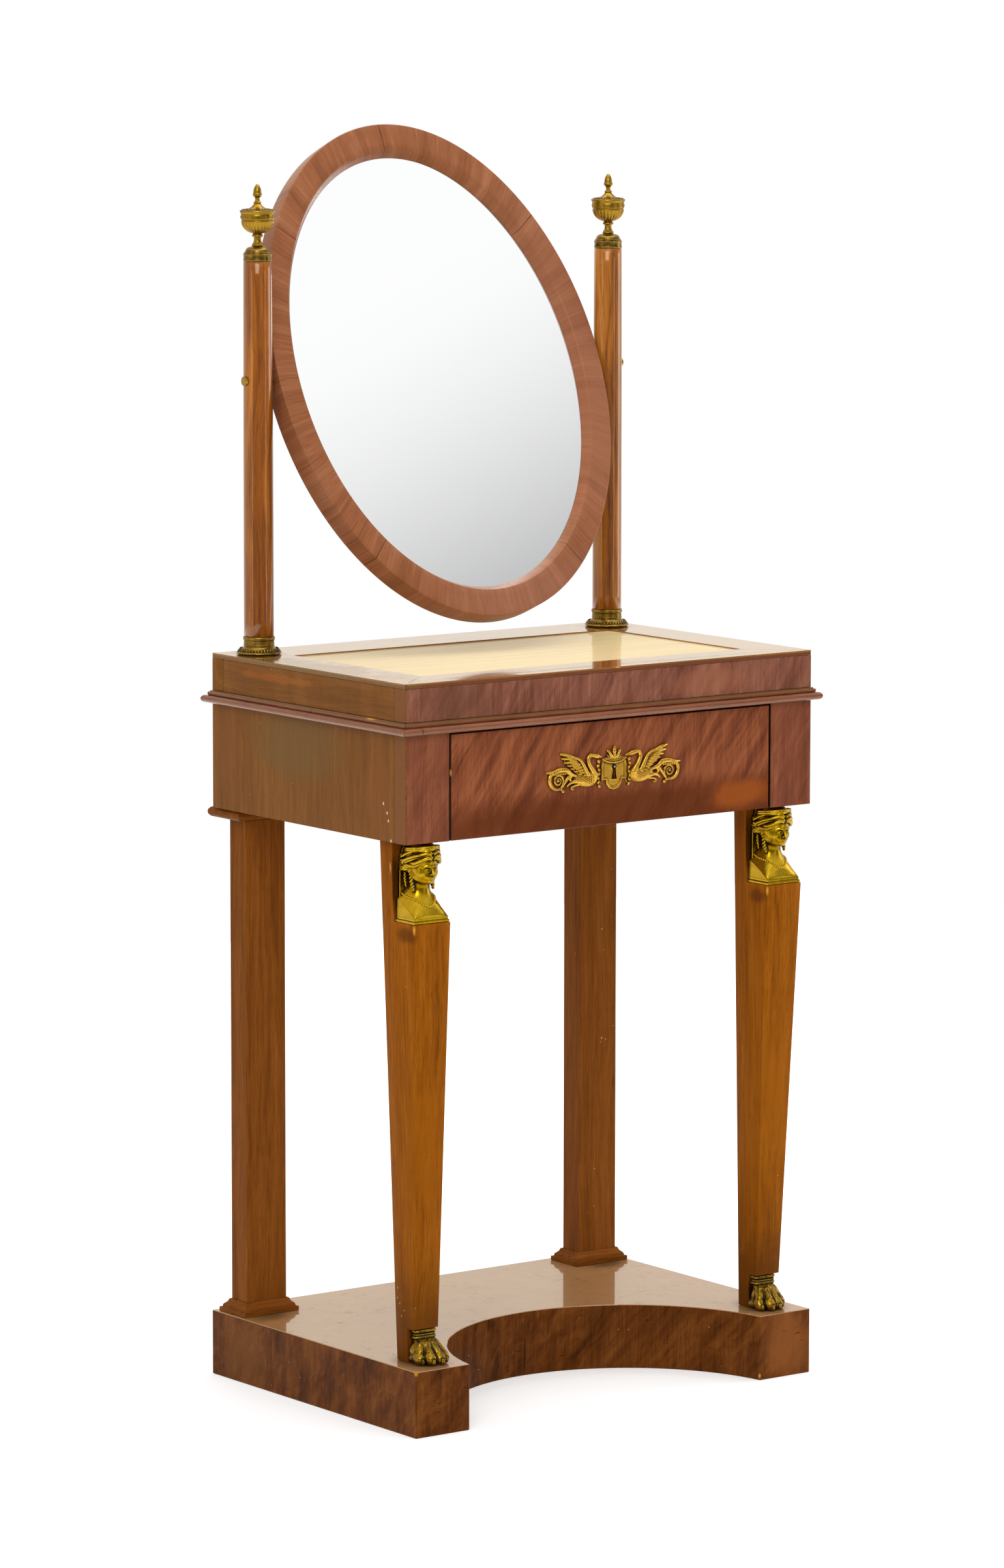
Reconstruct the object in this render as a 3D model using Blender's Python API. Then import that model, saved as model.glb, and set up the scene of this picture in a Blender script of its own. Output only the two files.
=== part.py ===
"""Dressing table on a plinth, with a drawer, a tilting oval mirror and carved front legs.

Metres, +Z up, the front faces -Y. The origin is on the floor, under the middle of the case. Each piece
of the real table is one object. The pieces that move hang from empties on their joints' axes, and places
are given for the upright mirror: its empty then leans it back.
"""

import math

import bmesh
import bpy
from mathutils import Vector

# Joint gap between pieces that are glued, screwed or stood together
GAP = 0.0003
# How far a cutter runs past the face that it opens
OVERRUN = 0.002

# Case
CASE_WIDTH = 0.530
CASE_DEPTH = 0.3507
CASE_UNDERSIDE = 0.6162
LOWER_CASE_HEIGHT = 0.1249
UPPER_BOX_HEIGHT = 0.0399
CASE_BOARD = 0.020
STILE_WIDTH = 0.0548
RAIL_DEPTH = 0.045
EDGE_WEAR = 0.0008

# Waist moulding round the case: a half-round nose under a small bead
MOULDING_REACH = 0.0095
MOULDING_HEIGHT = 0.0128
NOSE_HEIGHT = 0.0078
BEAD_REACH = 0.0042
FILLET_REACH = 0.0020
FILLET_HEIGHT = 0.0012

# Top: mitred borders round a panel that lies a little lower, on a board inside the box
BORDER_THICKNESS = 0.0050
BORDER_FRONT_WIDTH = 0.0500
BORDER_SIDE_WIDTH = 0.0550
BORDER_BACK_WIDTH = 0.0700
PANEL_DROP = 0.0013
SUB_TOP_THICKNESS = 0.0120

# Plinth with its round foot recess
PLINTH_WIDTH = 0.522
PLINTH_HEIGHT = 0.0698
PLINTH_FRONT_STEP = 0.0115
PLINTH_BACK_STEP = 0.0123
TOE_WIDTH = 0.0683
RECESS_DEPTH = 0.168

# Rear legs with a moulding at the foot and a cap under the case
REAR_LEG_WIDTH = 0.0510
REAR_LEG_DEPTH = 0.0295
REAR_LEG_SIDE_INSET = 0.0170
REAR_LEG_BACK_INSET = 0.0059
FOOT_MOULDING_REACH = 0.0095
FOOT_MOULDING_HEIGHT = 0.0137
FOOT_FILLET_HEIGHT = 0.0045
CAP_THICKNESS = 0.0114
CAP_SIDE_REACH = 0.0146
CAP_FRONT_REACH = 0.0090
CAP_BACK_REACH = 0.0205

# Front legs: tapering pillars, each with a bust above and a paw below
FRONT_LEG_SIDE_INSET = 0.0055
FRONT_LEG_TOP_WIDTH = 0.0503
FRONT_LEG_FOOT_WIDTH = 0.0329
SHOULDER_SETBACK = 0.0021
SHIN_SETBACK = 0.0203
BUST_REBATE_SETBACK = 0.0348
PAW_REBATE_SETBACK = 0.0298
LEG_BACK_TOP_SETBACK = 0.0538
LEG_BACK_FOOT_SETBACK = 0.0474

# Busts
BUST_HEIGHT = 0.0837
BUST_SEAT_WIDTH = 0.0430
BUST_HEAD_DEPTH = 0.0360
RINGLET_RADIUS = 0.0034
DIADEM_STONE_RADIUS = 0.0042

# Paws
PAW_HEIGHT = 0.0363
PAW_WIDTH = 0.0405
PAW_DEPTH = 0.0302
PAW_COLLAR_WIDTH = 0.0273
PAW_COLLAR_SHIFT = 0.0025
PAW_TOE_SHIFT = 0.0023

# Drawer
DRAWER_SIDE_PLAY = 0.0016
DRAWER_TOP_PLAY = 0.0021
DRAWER_FRONT_THICKNESS = 0.0200
DRAWER_BOARD = 0.0100
DRAWER_BOTTOM_THICKNESS = 0.0060
DRAWER_BOTTOM_RISE = 0.0060
DRAWER_GROOVE = 0.0040
DRAWER_SIDE_DROP = 0.0060
DRAWER_BACK_PLAY = 0.0060
RUNNER_LEDGE = 0.0120
RUNNER_HEIGHT = 0.0120
GUIDE_HEIGHT = 0.0220
GUIDE_PLAY = 0.0006

# Lock, its bolt and the plate that the bolt enters
KEYHOLE_BELOW_TOP = 0.0492
KEYHOLE_RADIUS = 0.0031
KEYHOLE_WAIST = 0.0034
KEYHOLE_SKIRT = 0.0066
KEYHOLE_DROP = 0.0131
DRILL_PIN_RADIUS = 0.0014
DRILL_PIN_REACH = 0.0035
LOCK_WIDTH = 0.0460
LOCK_DEPTH = 0.0110
LOCK_BELOW_KEYHOLE = 0.0190
BOLT_WIDTH = 0.0180
BOLT_DEPTH = 0.0040
BOLT_LENGTH = 0.0240
BOLT_THROW = 0.0065
BOLT_SINK = 0.0005
STRIKE_WIDTH = 0.0360
STRIKE_DEPTH = 0.0130
STRIKE_THICKNESS = 0.0015

# Gilt keyhole mount: a shield between two swans
ESCUTCHEON_WIDTH = 0.1740
ESCUTCHEON_HEIGHT = 0.0475
SHIELD_RELIEF = 0.0034
BODY_RELIEF = 0.0050
WING_RELIEF = 0.0027
LEAF_RELIEF = 0.0022
NECK_RADIUS = 0.0022
SCROLL_RADIUS = 0.0019
SCROLL_OUTER_REACH = 0.0100
SCROLL_INNER_REACH = 0.0022

# Mirror
MIRROR_WIDTH = 0.4250
MIRROR_HEIGHT = 0.5564
MIRROR_THICKNESS = 0.0257
MIRROR_LEAN = math.radians(22.75)
FRAME_SIDE_WIDTH = 0.0254
FRAME_END_WIDTH = 0.0292
FRAME_BEVEL_WIDTH = 0.0063
FRAME_BEVEL_DEPTH = 0.0100
FRAME_EDGE_ROUND = 0.0012
REBATE_WIDTH = 0.0080
GLASS_THICKNESS = 0.0040
GLASS_EDGE_BEVEL = 0.0010
BACKBOARD_THICKNESS = 0.0060
AXIS_BEHIND_FACE = 0.0120
MIRROR_SIDE_GAP = 0.0028
MIRROR_UNDER_GAP = 0.0105

# Columns that carry the mirror
COLUMN_SETBACK = 0.0377
COLUMN_HEIGHT = 0.4138
COLUMN_FOOT_RADIUS = 0.0158
COLUMN_TOP_RADIUS = 0.0150
COLUMN_TENON_RADIUS = 0.0120
COLUMN_DOWEL_RADIUS = 0.0060
COLUMN_DOWEL_LENGTH = 0.0150
COLLAR_FLARE_RADIUS = 0.0239
COLLAR_HEIGHT = 0.0190
BAND_RADIUS = 0.0153
BAND_HEIGHT = 0.0100
DOME_HEIGHT = 0.0057
FINIAL_HEIGHT = 0.0646
FINIAL_RADIUS = 0.0186
FINIAL_SEAT_RADIUS = 0.0060

# Pivots
PIVOT_RADIUS = 0.0030
PIVOT_PLAY = 0.0001
PIVOT_HEAD_RADIUS = 0.0050
PIVOT_HEAD_THICKNESS = 0.0020
PIVOT_GRIP = 0.0110
BUSH_RADIUS = 0.0055
BUSH_LENGTH = 0.0140

# Levels and places that follow from the sizes above
CASE_HALF = CASE_WIDTH / 2
FRONT_Y = -CASE_DEPTH / 2
BACK_Y = CASE_DEPTH / 2
LOWER_TOP = CASE_UNDERSIDE + LOWER_CASE_HEIGHT
CASE_TOP = LOWER_TOP + UPPER_BOX_HEIGHT
BORDER_UNDERSIDE = CASE_TOP - BORDER_THICKNESS
MOULDING_UNDERSIDE = LOWER_TOP - MOULDING_HEIGHT
SHOULDER_Z = CASE_UNDERSIDE - BUST_HEIGHT
SHIN_Z = PLINTH_HEIGHT + PAW_HEIGHT
LEG_INNER_X = CASE_HALF - FRONT_LEG_SIDE_INSET - FRONT_LEG_TOP_WIDTH
OPENING_HALF = CASE_HALF - STILE_WIDTH
DRAWER_HALF = OPENING_HALF - DRAWER_SIDE_PLAY
DRAWER_TOP = MOULDING_UNDERSIDE - DRAWER_TOP_PLAY
DRAWER_FRONT_BACK_Y = FRONT_Y + DRAWER_FRONT_THICKNESS
DRAWER_SIDE_LOW = CASE_UNDERSIDE + RUNNER_HEIGHT + GAP
DRAWER_SIDE_TOP = DRAWER_TOP - DRAWER_SIDE_DROP
DRAWER_REAR_Y = BACK_Y - CASE_BOARD - DRAWER_BACK_PLAY
KEYHOLE_Z = DRAWER_TOP - KEYHOLE_BELOW_TOP
LOCK_Y = DRAWER_FRONT_BACK_Y + GAP + LOCK_DEPTH / 2
BOLT_TOP = DRAWER_TOP - BOLT_SINK
COLUMN_X = MIRROR_WIDTH / 2 + MIRROR_SIDE_GAP + COLUMN_FOOT_RADIUS
COLUMN_Y = BACK_Y - COLUMN_SETBACK
PIVOT_Z = CASE_TOP + MIRROR_UNDER_GAP + MIRROR_HEIGHT / 2

# How many flats stand for a curve
RECESS_STEPS = 40
TURN_STEPS = 24
OVAL_STEPS = 72
FINIAL_STEPS = 20
TUBE_SIDES = 6
NECK_STEPS = 15
SMOOTH_ANGLE = math.radians(40)

SIDES = {"left": -1, "right": 1}

# Colour, roughness and metallic value of each finish
FINISHES = {
    "front_mahogany": ((0.30, 0.10, 0.045), 0.30, 0.0),
    "case_mahogany": ((0.24, 0.11, 0.05), 0.34, 0.0),
    "top_mahogany": ((0.22, 0.09, 0.04), 0.12, 0.0),
    "top_inset": ((0.62, 0.46, 0.22), 0.20, 0.0),
    "leg_mahogany": ((0.36, 0.16, 0.07), 0.32, 0.0),
    "column_mahogany": ((0.32, 0.11, 0.05), 0.15, 0.0),
    "frame_mahogany": ((0.36, 0.16, 0.10), 0.25, 0.0),
    "drawer_oak": ((0.52, 0.36, 0.20), 0.60, 0.0),
    "pine": ((0.62, 0.45, 0.27), 0.70, 0.0),
    "gilt_bronze": ((0.80, 0.58, 0.22), 0.28, 1.0),
    "brass": ((0.75, 0.58, 0.28), 0.35, 1.0),
    "steel": ((0.55, 0.55, 0.56), 0.40, 1.0),
    "mirror_glass": ((0.88, 0.89, 0.88), 0.03, 1.0),
}

# Bust outline from seat to crown: height, half-width, front, middle of depth (shares), and squareness
BUST_RING_SHARES = (
    (0.000, 1.00, 0.89, 0.00, 8),
    (0.030, 1.00, 0.89, 0.00, 8),
    (0.036, 0.94, 0.84, 0.00, 8),
    (0.064, 0.94, 0.84, 0.00, 8),
    (0.074, 0.86, 0.78, 0.00, 6),
    (0.140, 0.84, 0.77, 0.00, 4),
    (0.220, 0.88, 0.74, 0.00, 3.2),
    (0.290, 0.88, 0.68, 0.00, 3),
    (0.340, 0.84, 0.60, 0.00, 2.8),
    (0.380, 0.76, 0.53, 0.00, 2.4),
    (0.410, 0.62, 0.51, 0.10, 2),
    (0.440, 0.54, 0.52, 0.16, 2),
    (0.470, 0.52, 0.56, 0.20, 2),
    (0.492, 0.54, 0.68, 0.26, 2),
    (0.508, 0.56, 0.79, 0.32, 2),
    (0.525, 0.59, 0.84, 0.34, 2),
    (0.545, 0.62, 0.86, 0.36, 2),
    (0.565, 0.66, 0.87, 0.37, 2),
    (0.585, 0.69, 0.87, 0.38, 2),
    (0.600, 0.71, 0.87, 0.39, 2),
    (0.612, 0.72, 0.87, 0.40, 2),
    (0.630, 0.74, 0.88, 0.40, 2),
    (0.650, 0.75, 0.88, 0.40, 2),
    (0.670, 0.76, 0.88, 0.40, 2),
    (0.690, 0.77, 0.88, 0.40, 2),
    (0.710, 0.78, 0.89, 0.40, 2),
    (0.735, 0.78, 0.91, 0.40, 2),
    (0.760, 0.78, 0.91, 0.40, 2),
    (0.785, 0.78, 0.91, 0.40, 2),
    (0.810, 0.77, 0.90, 0.40, 2),
    (0.840, 0.75, 0.88, 0.40, 2),
    (0.868, 0.74, 0.85, 0.40, 2),
    (0.878, 0.80, 0.94, 0.40, 2),
    (0.925, 0.79, 0.93, 0.40, 2),
    (0.935, 0.74, 0.85, 0.40, 2),
    (0.970, 0.68, 0.76, 0.38, 2),
    (1.000, 0.56, 0.62, 0.34, 2),
)
BUST_RING_POINTS = 18
BUST_WRAP_SHARE = 0.9
# Plain, regular face: turn from straight ahead and its spread, level and its spread, and relief (shares)
FACE_SHARES = (
    (math.radians(24), math.radians(10), 0.695, 0.020, -0.05),
    (0, math.radians(15), 0.573, 0.009, 0.03),
    (0, math.radians(15), 0.551, 0.009, 0.03),
    (0, math.radians(18), 0.515, 0.018, 0.05),
)
NOSE_SPREAD = math.radians(9)
NOSE_LEVEL_SHARES = (0.605, 0.700)
NOSE_FOOT_SHARE = 0.008
NOSE_RELIEF_SHARE = 0.11
# Wavy hair: it leaves the face free up to a hairline that closes to a middle parting
HAIRLINE_TURN = math.radians(58)
PARTING_TURN = math.radians(10)
HAIRLINE_LEVEL_SHARES = (0.70, 0.79)
HAIR_LEVEL_SHARES = (0.575, 0.865)
HAIR_FADE_SHARES = (0.012, 0.006)
HAIR_FADE_TURN = math.radians(3)
HAIR_RELIEF_SHARE = 0.085
HAIR_WAVE_SHARE = 0.28
HAIR_WAVE_PITCH_SHARE = 0.075
HAIR_WAVE_SLOPE_SHARE = 0.063
RINGLET_PATH_SHARES = (
    (0.66, 0.44, 0.64), (0.70, 0.47, 0.57), (0.68, 0.50, 0.50), (0.62, 0.55, 0.43), (0.58, 0.58, 0.36),
)
RINGLET_TWISTS = 4
RINGLET_HEAD_SHARE = 1.05
RINGLET_TIP_SHARE = 0.70
RINGLET_SWELL_SHARE = 0.12
RINGLET_END_SHARE = 0.4
STONE_SEAT_SHARES = (0, 0.93, 0.915)

# Paw outline from sole to collar: height, half-width, front, and how far the toes part (shares)
PAW_RING_SHARES = (
    (0.00, 0.96, 0.95, 1.0),
    (0.06, 1.00, 1.00, 1.0),
    (0.20, 1.00, 0.99, 1.0),
    (0.32, 0.95, 0.93, 0.9),
    (0.43, 0.86, 0.82, 0.7),
    (0.52, 0.77, 0.68, 0.4),
    (0.60, 0.69, 0.52, 0.1),
    (0.68, 0.62, 0.38, 0.0),
)
PAW_COLLAR_SHARES = ((0.00, 0.92, 0.94), (0.22, 1.00, 1.00), (0.78, 1.00, 1.00), (0.95, 0.92, 0.94))
PAW_COLLAR_RINGS = 3
PAW_COLLAR_LOW_SHARE = 0.73
PAW_COLLAR_DEPTH_SHARE = 0.32
# Each toe: place across the paw from the inner side, and how far forward it reaches (shares)
TOE_SHARES = ((-0.80, 0.74), (-0.28, 1.00), (0.34, 0.92), (0.84, 0.68))
TOE_RADIUS_SHARE = 0.31
TOE_ROUND_SHARE = 0.20
PAW_WEB_SHARE = 0.60
PAW_SIDE_SHARE = 0.05
PAW_RING_POINTS = 24

# Outlines of the keyhole mount's right half: across in half-widths, up from the keyhole in heights (shares)
SHIELD_SHARES = (
    (0.063, 0.105), (0.109, 0.168), (0.172, 0.168), (0.194, 0.021), (0.192, -0.284),
    (0.121, -0.284), (0.113, -0.380), (0.069, -0.480),
)
SHIELD_FOOT_SHARE = -0.514
WING_SHARES = (
    (0.368, -0.084), (0.425, 0.000), (0.448, 0.126), (0.500, 0.232), (0.598, 0.305), (0.701, 0.326),
    (0.759, 0.400), (0.797, 0.375), (0.753, 0.200), (0.684, 0.074), (0.594, -0.048), (0.506, -0.158),
)
LEAF_SHARES = (
    (0.560, -0.090), (0.713, 0.063), (0.810, 0.080), (0.908, 0.027), (1.000, 0.006), (0.985, -0.084),
    (0.908, -0.076), (0.820, -0.025), (0.722, -0.032), (0.560, -0.170),
)
NECK_SHARES = (
    (0.300, -0.210), (0.310, -0.110), (0.345, -0.020), (0.384, 0.105), (0.388, 0.225), (0.351, 0.290),
    (0.299, 0.286), (0.233, 0.256), (0.161, 0.240), (0.045, 0.225),
)
NECK_TAPER_SHARES = (1.25, 1.15, 1.05, 0.95, 0.90, 0.90, 1.15, 1.20, 0.80, 0.60)
BODY_CENTRE_SHARES = (0.420, -0.221)
BODY_REACH_SHARES = (0.190, 0.180)
TAIL_SHARES = ((0.520, -0.250), (0.600, -0.320), (0.680, -0.370))
VOLUTE_CENTRE_SHARES = (0.815, -0.200)
VOLUTE_START = math.radians(-115)
VOLUTE_TURNS = 1.6
VOLUTE_STEPS = 20
CREST_CENTRE_SHARES = (0.000, 0.275)
CREST_REACH_SHARES = (0.062, 0.210)
PLATE_EDGE_SHARE = 0.60
PLATE_FACE_SHARE = 0.92
TUBE_RISE_SHARE = 0.70
SCROLL_TAPER_SHARE = 0.30

# Worked edges: the ogee over a rear foot's fillet as reach and rise, and how full other edges are (shares)
FOOT_OGEE_SHARES = ((0.75, 0.05), (0.68, 0.35), (0.34, 0.65), (0.18, 1.00))
BEAD_FULLNESS_SHARE = 0.6
FRAME_EDGE_SHARE = 0.3
DOME_SHOULDER_SHARE = 0.93

# Turned outlines: radius and height as shares of the piece's largest radius and of its height
COLLAR_OUTER_SHARES = (
    (0.92, 0.00), (1.00, 0.09), (0.95, 0.16), (0.80, 0.26), (0.69, 0.37), (0.67, 0.39), (0.67, 0.80),
    (0.70, 0.82), (0.70, 0.98), (0.68, 1.00),
)
FINIAL_SHARES = (
    (0.32, 0.000), (0.21, 0.080), (0.21, 0.145), (0.30, 0.152), (0.30, 0.182), (0.23, 0.186), (0.37, 0.200),
    (0.67, 0.255), (0.85, 0.317), (0.925, 0.400), (0.89, 0.412), (0.94, 0.424), (0.96, 0.470), (1.00, 0.563),
    (0.96, 0.575), (0.56, 0.600), (0.31, 0.635), (0.18, 0.678), (0.22, 0.697), (0.13, 0.750), (0.16, 0.811),
    (0.26, 0.853), (0.20, 0.920), (0.08, 0.985), (0.03, 1.000),
)
FLUTED_FROM_SHARE = 0.19
FLUTED_TO_SHARE = 0.41
FLUTE_DEPTH_SHARE = 0.07


def clear_scene():
    """Remove every object, so that only the table is left."""
    for obj in list(bpy.data.objects):
        bpy.data.objects.remove(obj)


def material(finish):
    """The Principled material of this finish, made the first time it is asked for."""
    made = bpy.data.materials.get(finish)
    if made:
        return made
    colour, roughness, metallic = FINISHES[finish]
    made = bpy.data.materials.new(finish)
    made.use_nodes = True
    shader = made.node_tree.nodes["Principled BSDF"]
    shader.inputs["Base Color"].default_value = (*colour, 1.0)
    shader.inputs["Roughness"].default_value = roughness
    shader.inputs["Metallic"].default_value = metallic
    made.diffuse_color = (*colour, 1.0)
    return made


def empty(name, place, turn=(0, 0, 0)):
    """An empty on a joint's axis, for the pieces that move with it."""
    made = bpy.data.objects.new(name, None)
    made.location = place
    made.rotation_euler = turn
    bpy.context.scene.collection.objects.link(made)
    return made


def wear(shape):
    """Break the shape's sharp outer edges a little, as handling does."""
    edges = [edge for edge in shape.edges if edge.is_convex and edge.calc_face_angle() > SMOOTH_ANGLE]
    bmesh.ops.bevel(shape, geom=edges, offset=EDGE_WEAR, segments=1, affect="EDGES")


def add(name, shape, finish, place=(0, 0, 0), parent=None, smooth=False, worn=False):
    """Make the shape an object whose origin is at place, on its parent if it has one."""
    bmesh.ops.recalc_face_normals(shape, faces=shape.faces)
    if worn:
        wear(shape)
    mesh = bpy.data.meshes.new(name)
    shape.to_mesh(mesh)
    shape.free()
    mesh.materials.append(material(finish))
    if smooth:
        mesh.shade_smooth()
        mesh.set_sharp_from_angle(angle=SMOOTH_ANGLE)
    made = bpy.data.objects.new(name, mesh)
    made.location = place
    if parent:
        made.parent = parent
        made.location = Vector(place) - parent.location
    bpy.context.scene.collection.objects.link(made)
    return made


def helper(made):
    """Mark an object as a cutter or a shape that another takes in, so it isn't a piece itself."""
    made.hide_render = True
    made.display_type = "WIRE"
    return made


def combine(target, other, operation):
    """Cut the other object from the target, or join it to the target."""
    modifier = target.modifiers.new(f"{operation.lower()} {other.name}", "BOOLEAN")
    modifier.operation = operation
    modifier.object = other


def cut(target, cutter):
    """Take the cutter's shape out of the target."""
    combine(target, helper(cutter), "DIFFERENCE")


def join(target, other):
    """Make the other shape part of the target."""
    combine(target, helper(other), "UNION")


def loft(rings, wrap=False):
    """A closed shape through rings of points. The end rings are capped or, with wrap, joined."""
    shape = bmesh.new()
    made = [[shape.verts.new(point) for point in ring] for ring in rings]
    pairs = list(zip(made, made[1:]))
    if wrap:
        pairs.append((made[-1], made[0]))
    for ring, after in pairs:
        for i, point in enumerate(ring):
            j = (i + 1) % len(ring)
            shape.faces.new((point, ring[j], after[j], after[i]))
    if not wrap:
        shape.faces.new(made[0])
        shape.faces.new(made[-1])
    return shape


def box(name, low, high, finish, parent=None, worn=False):
    """A board between two corners, with its origin at its middle."""
    low, high = Vector(low), Vector(high)
    half = (high - low) / 2
    rings = [
        [(x * half.x, y * half.y, z * half.z) for x, y in ((-1, -1), (1, -1), (1, 1), (-1, 1))]
        for z in (-1, 1)
    ]
    return add(name, loft(rings), finish, (low + high) / 2, parent, worn=worn)


def circle(radius, height, steps=TURN_STEPS, flute=0):
    """A ring of points round Z. With a flute depth, every other point lies deeper."""
    points = []
    for i in range(steps):
        angle = math.tau * i / steps
        reach = radius - flute * (i % 2)
        points.append((reach * math.cos(angle), reach * math.sin(angle), height))
    return points


def across_x(points):
    """Turn points from round Z to round X."""
    return [(z, y, -x) for x, y, z in points]


def rod(name, radius, low_x, high_x, centre, finish, parent=None, bore=None):
    """A round piece along X between two places, with a bore if it is given one."""
    ends = [0, high_x - low_x]
    profile = [(radius, end) for end in ends]
    if bore:
        profile += [(bore, end) for end in reversed(ends)]
    rings = [across_x(circle(reach, height)) for reach, height in profile]
    place = (low_x, centre[0], centre[1])
    return add(name, loft(rings, wrap=bool(bore)), finish, place, parent, smooth=True)


def rectangle(low, high, height, reach=(0, 0, 0, 0)):
    """A level rectangle of points, grown by a reach on its left, front, right and back."""
    left, front = low[0] - reach[0], low[1] - reach[1]
    right, back = high[0] + reach[2], high[1] + reach[3]
    return [(left, front, height), (right, front, height), (right, back, height), (left, back, height)]


def prism(outline, low, high):
    """A level outline extruded from one height to another."""
    return loft([[(x, y, z) for x, y in outline] for z in (low, high)])


def span(low, high, side):
    """The two X values of a piece on the right, or their mirror image, in rising order."""
    return (low, high) if side > 0 else (-high, -low)


def build_plinth():
    """The solid base. The recess is an arc through the toes' inner corners and its own deepest point."""
    half = PLINTH_WIDTH / 2
    front, back = FRONT_Y - PLINTH_FRONT_STEP, BACK_Y + PLINTH_BACK_STEP
    chord = half - TOE_WIDTH
    radius = (chord**2 + RECESS_DEPTH**2) / (2 * RECESS_DEPTH)
    centre = front + RECESS_DEPTH - radius
    start = math.atan2(front - centre, -chord)
    sweep = start - math.atan2(front - centre, chord)
    arc = []
    for i in range(RECESS_STEPS + 1):
        angle = start - sweep * i / RECESS_STEPS
        arc.append((radius * math.cos(angle), centre + radius * math.sin(angle)))
    outline = [(-half, front), *arc, (half, front), (half, back), (-half, back)]
    add("plinth", prism(outline, 0, PLINTH_HEIGHT), "front_mahogany", worn=True)


def build_rear_leg(side_name, side):
    """A rear leg, the moulding round its foot and the cap that carries the case."""
    outer = CASE_HALF - REAR_LEG_SIDE_INSET
    left, right = span(outer - REAR_LEG_WIDTH, outer, side)
    back = BACK_Y - REAR_LEG_BACK_INSET
    low, high = (left, back - REAR_LEG_DEPTH), (right, back)
    foot = PLINTH_HEIGHT + GAP
    cap_top = CASE_UNDERSIDE - GAP
    cap_foot = cap_top - CAP_THICKNESS
    box(f"rear_leg_{side_name}", (*low, foot), (*high, cap_foot - GAP), "leg_mahogany", worn=True)

    profile = [(FOOT_MOULDING_REACH, 0), (FOOT_MOULDING_REACH, FOOT_FILLET_HEIGHT)]
    for reach, rise in FOOT_OGEE_SHARES:
        height = FOOT_FILLET_HEIGHT + rise * (FOOT_MOULDING_HEIGHT - FOOT_FILLET_HEIGHT)
        profile.append((FOOT_MOULDING_REACH * reach, height))
    profile += [(GAP, FOOT_MOULDING_HEIGHT), (GAP, 0)]
    rings = [rectangle(low, high, foot + height, (reach,) * 4) for reach, height in profile]
    add(f"rear_leg_base_{side_name}", loft(rings, wrap=True), "leg_mahogany")

    nose = CAP_THICKNESS / 2
    rings = []
    for i in range(7):
        angle = math.pi * (i / 6 - 0.5)
        inset = nose * (1 - math.cos(angle))
        sides, front, rear = (reach - inset for reach in (CAP_SIDE_REACH, CAP_FRONT_REACH, CAP_BACK_REACH))
        height = cap_foot + nose * (1 + math.sin(angle))
        rings.append(rectangle(low, high, height, (sides, front, sides, rear)))
    add(f"rear_leg_cap_{side_name}", loft(rings), "leg_mahogany", smooth=True)


def front_leg_outer(height):
    """The outer X of a right front leg at this height: its outer side tapers in a straight line."""
    share = (height - PLINTH_HEIGHT) / (CASE_UNDERSIDE - PLINTH_HEIGHT)
    width = FRONT_LEG_FOOT_WIDTH + share * (FRONT_LEG_TOP_WIDTH - FRONT_LEG_FOOT_WIDTH)
    return LEG_INNER_X + width


def build_front_leg(side_name, side):
    """A tapering pillar whose back strip runs on behind the bust and the paw."""
    foot, head = PLINTH_HEIGHT + GAP, CASE_UNDERSIDE - GAP
    outline = (
        (BUST_REBATE_SETBACK, head),
        (BUST_REBATE_SETBACK, SHOULDER_Z),
        (SHOULDER_SETBACK, SHOULDER_Z),
        (SHIN_SETBACK, SHIN_Z),
        (PAW_REBATE_SETBACK, SHIN_Z),
        (PAW_REBATE_SETBACK, foot),
        (LEG_BACK_FOOT_SETBACK, foot),
        (LEG_BACK_TOP_SETBACK, head),
    )
    rings = [
        [(side * LEG_INNER_X, FRONT_Y + setback, height) for setback, height in outline],
        [(side * front_leg_outer(height), FRONT_Y + setback, height) for setback, height in outline],
    ]
    add(f"front_leg_{side_name}", loft(rings), "leg_mahogany", worn=True)


def bump(value, centre, width):
    """A smooth rise to 1 at the centre."""
    return math.exp(-(((value - centre) / width) ** 2))


def past(value, edge, fade):
    """A smooth step from 0 below the edge to 1 above it."""
    return 1 / (1 + math.exp((edge - value) / fade))


def face_relief(turn, height):
    """How far a plain, regular face stands out at this turn from straight ahead, as a share of its depth."""
    tip, bridge = NOSE_LEVEL_SHARES
    if tip <= height <= bridge:
        ridge = (bridge - height) / (bridge - tip)
    else:
        ridge = bump(height, tip, NOSE_FOOT_SHARE)
    relief = NOSE_RELIEF_SHARE * ridge * bump(turn, 0, NOSE_SPREAD)
    for place, spread, level, reach, rise in FACE_SHARES:
        relief += rise * bump(turn, place, spread) * bump(height, level, reach)
    return relief


def hair_relief(turn, height):
    """How much wider the head is where wavy hair is swept back over it, as a share of its reach there."""
    low, high = HAIRLINE_LEVEL_SHARES
    closed = min(max((height - low) / (high - low), 0), 1)
    hairline = HAIRLINE_TURN + closed * (PARTING_TURN - HAIRLINE_TURN)
    over_face = past(turn, hairline, HAIR_FADE_TURN)
    above_neck = past(height, HAIR_LEVEL_SHARES[0], HAIR_FADE_SHARES[0])
    under_band = past(-height, -HAIR_LEVEL_SHARES[1], HAIR_FADE_SHARES[1])
    phase = math.tau * (height - HAIR_WAVE_SLOPE_SHARE * turn) / HAIR_WAVE_PITCH_SHARE
    wave = 1 + HAIR_WAVE_SHARE * math.cos(phase)
    return HAIR_RELIEF_SHARE * over_face * above_neck * under_band * wave


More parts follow.
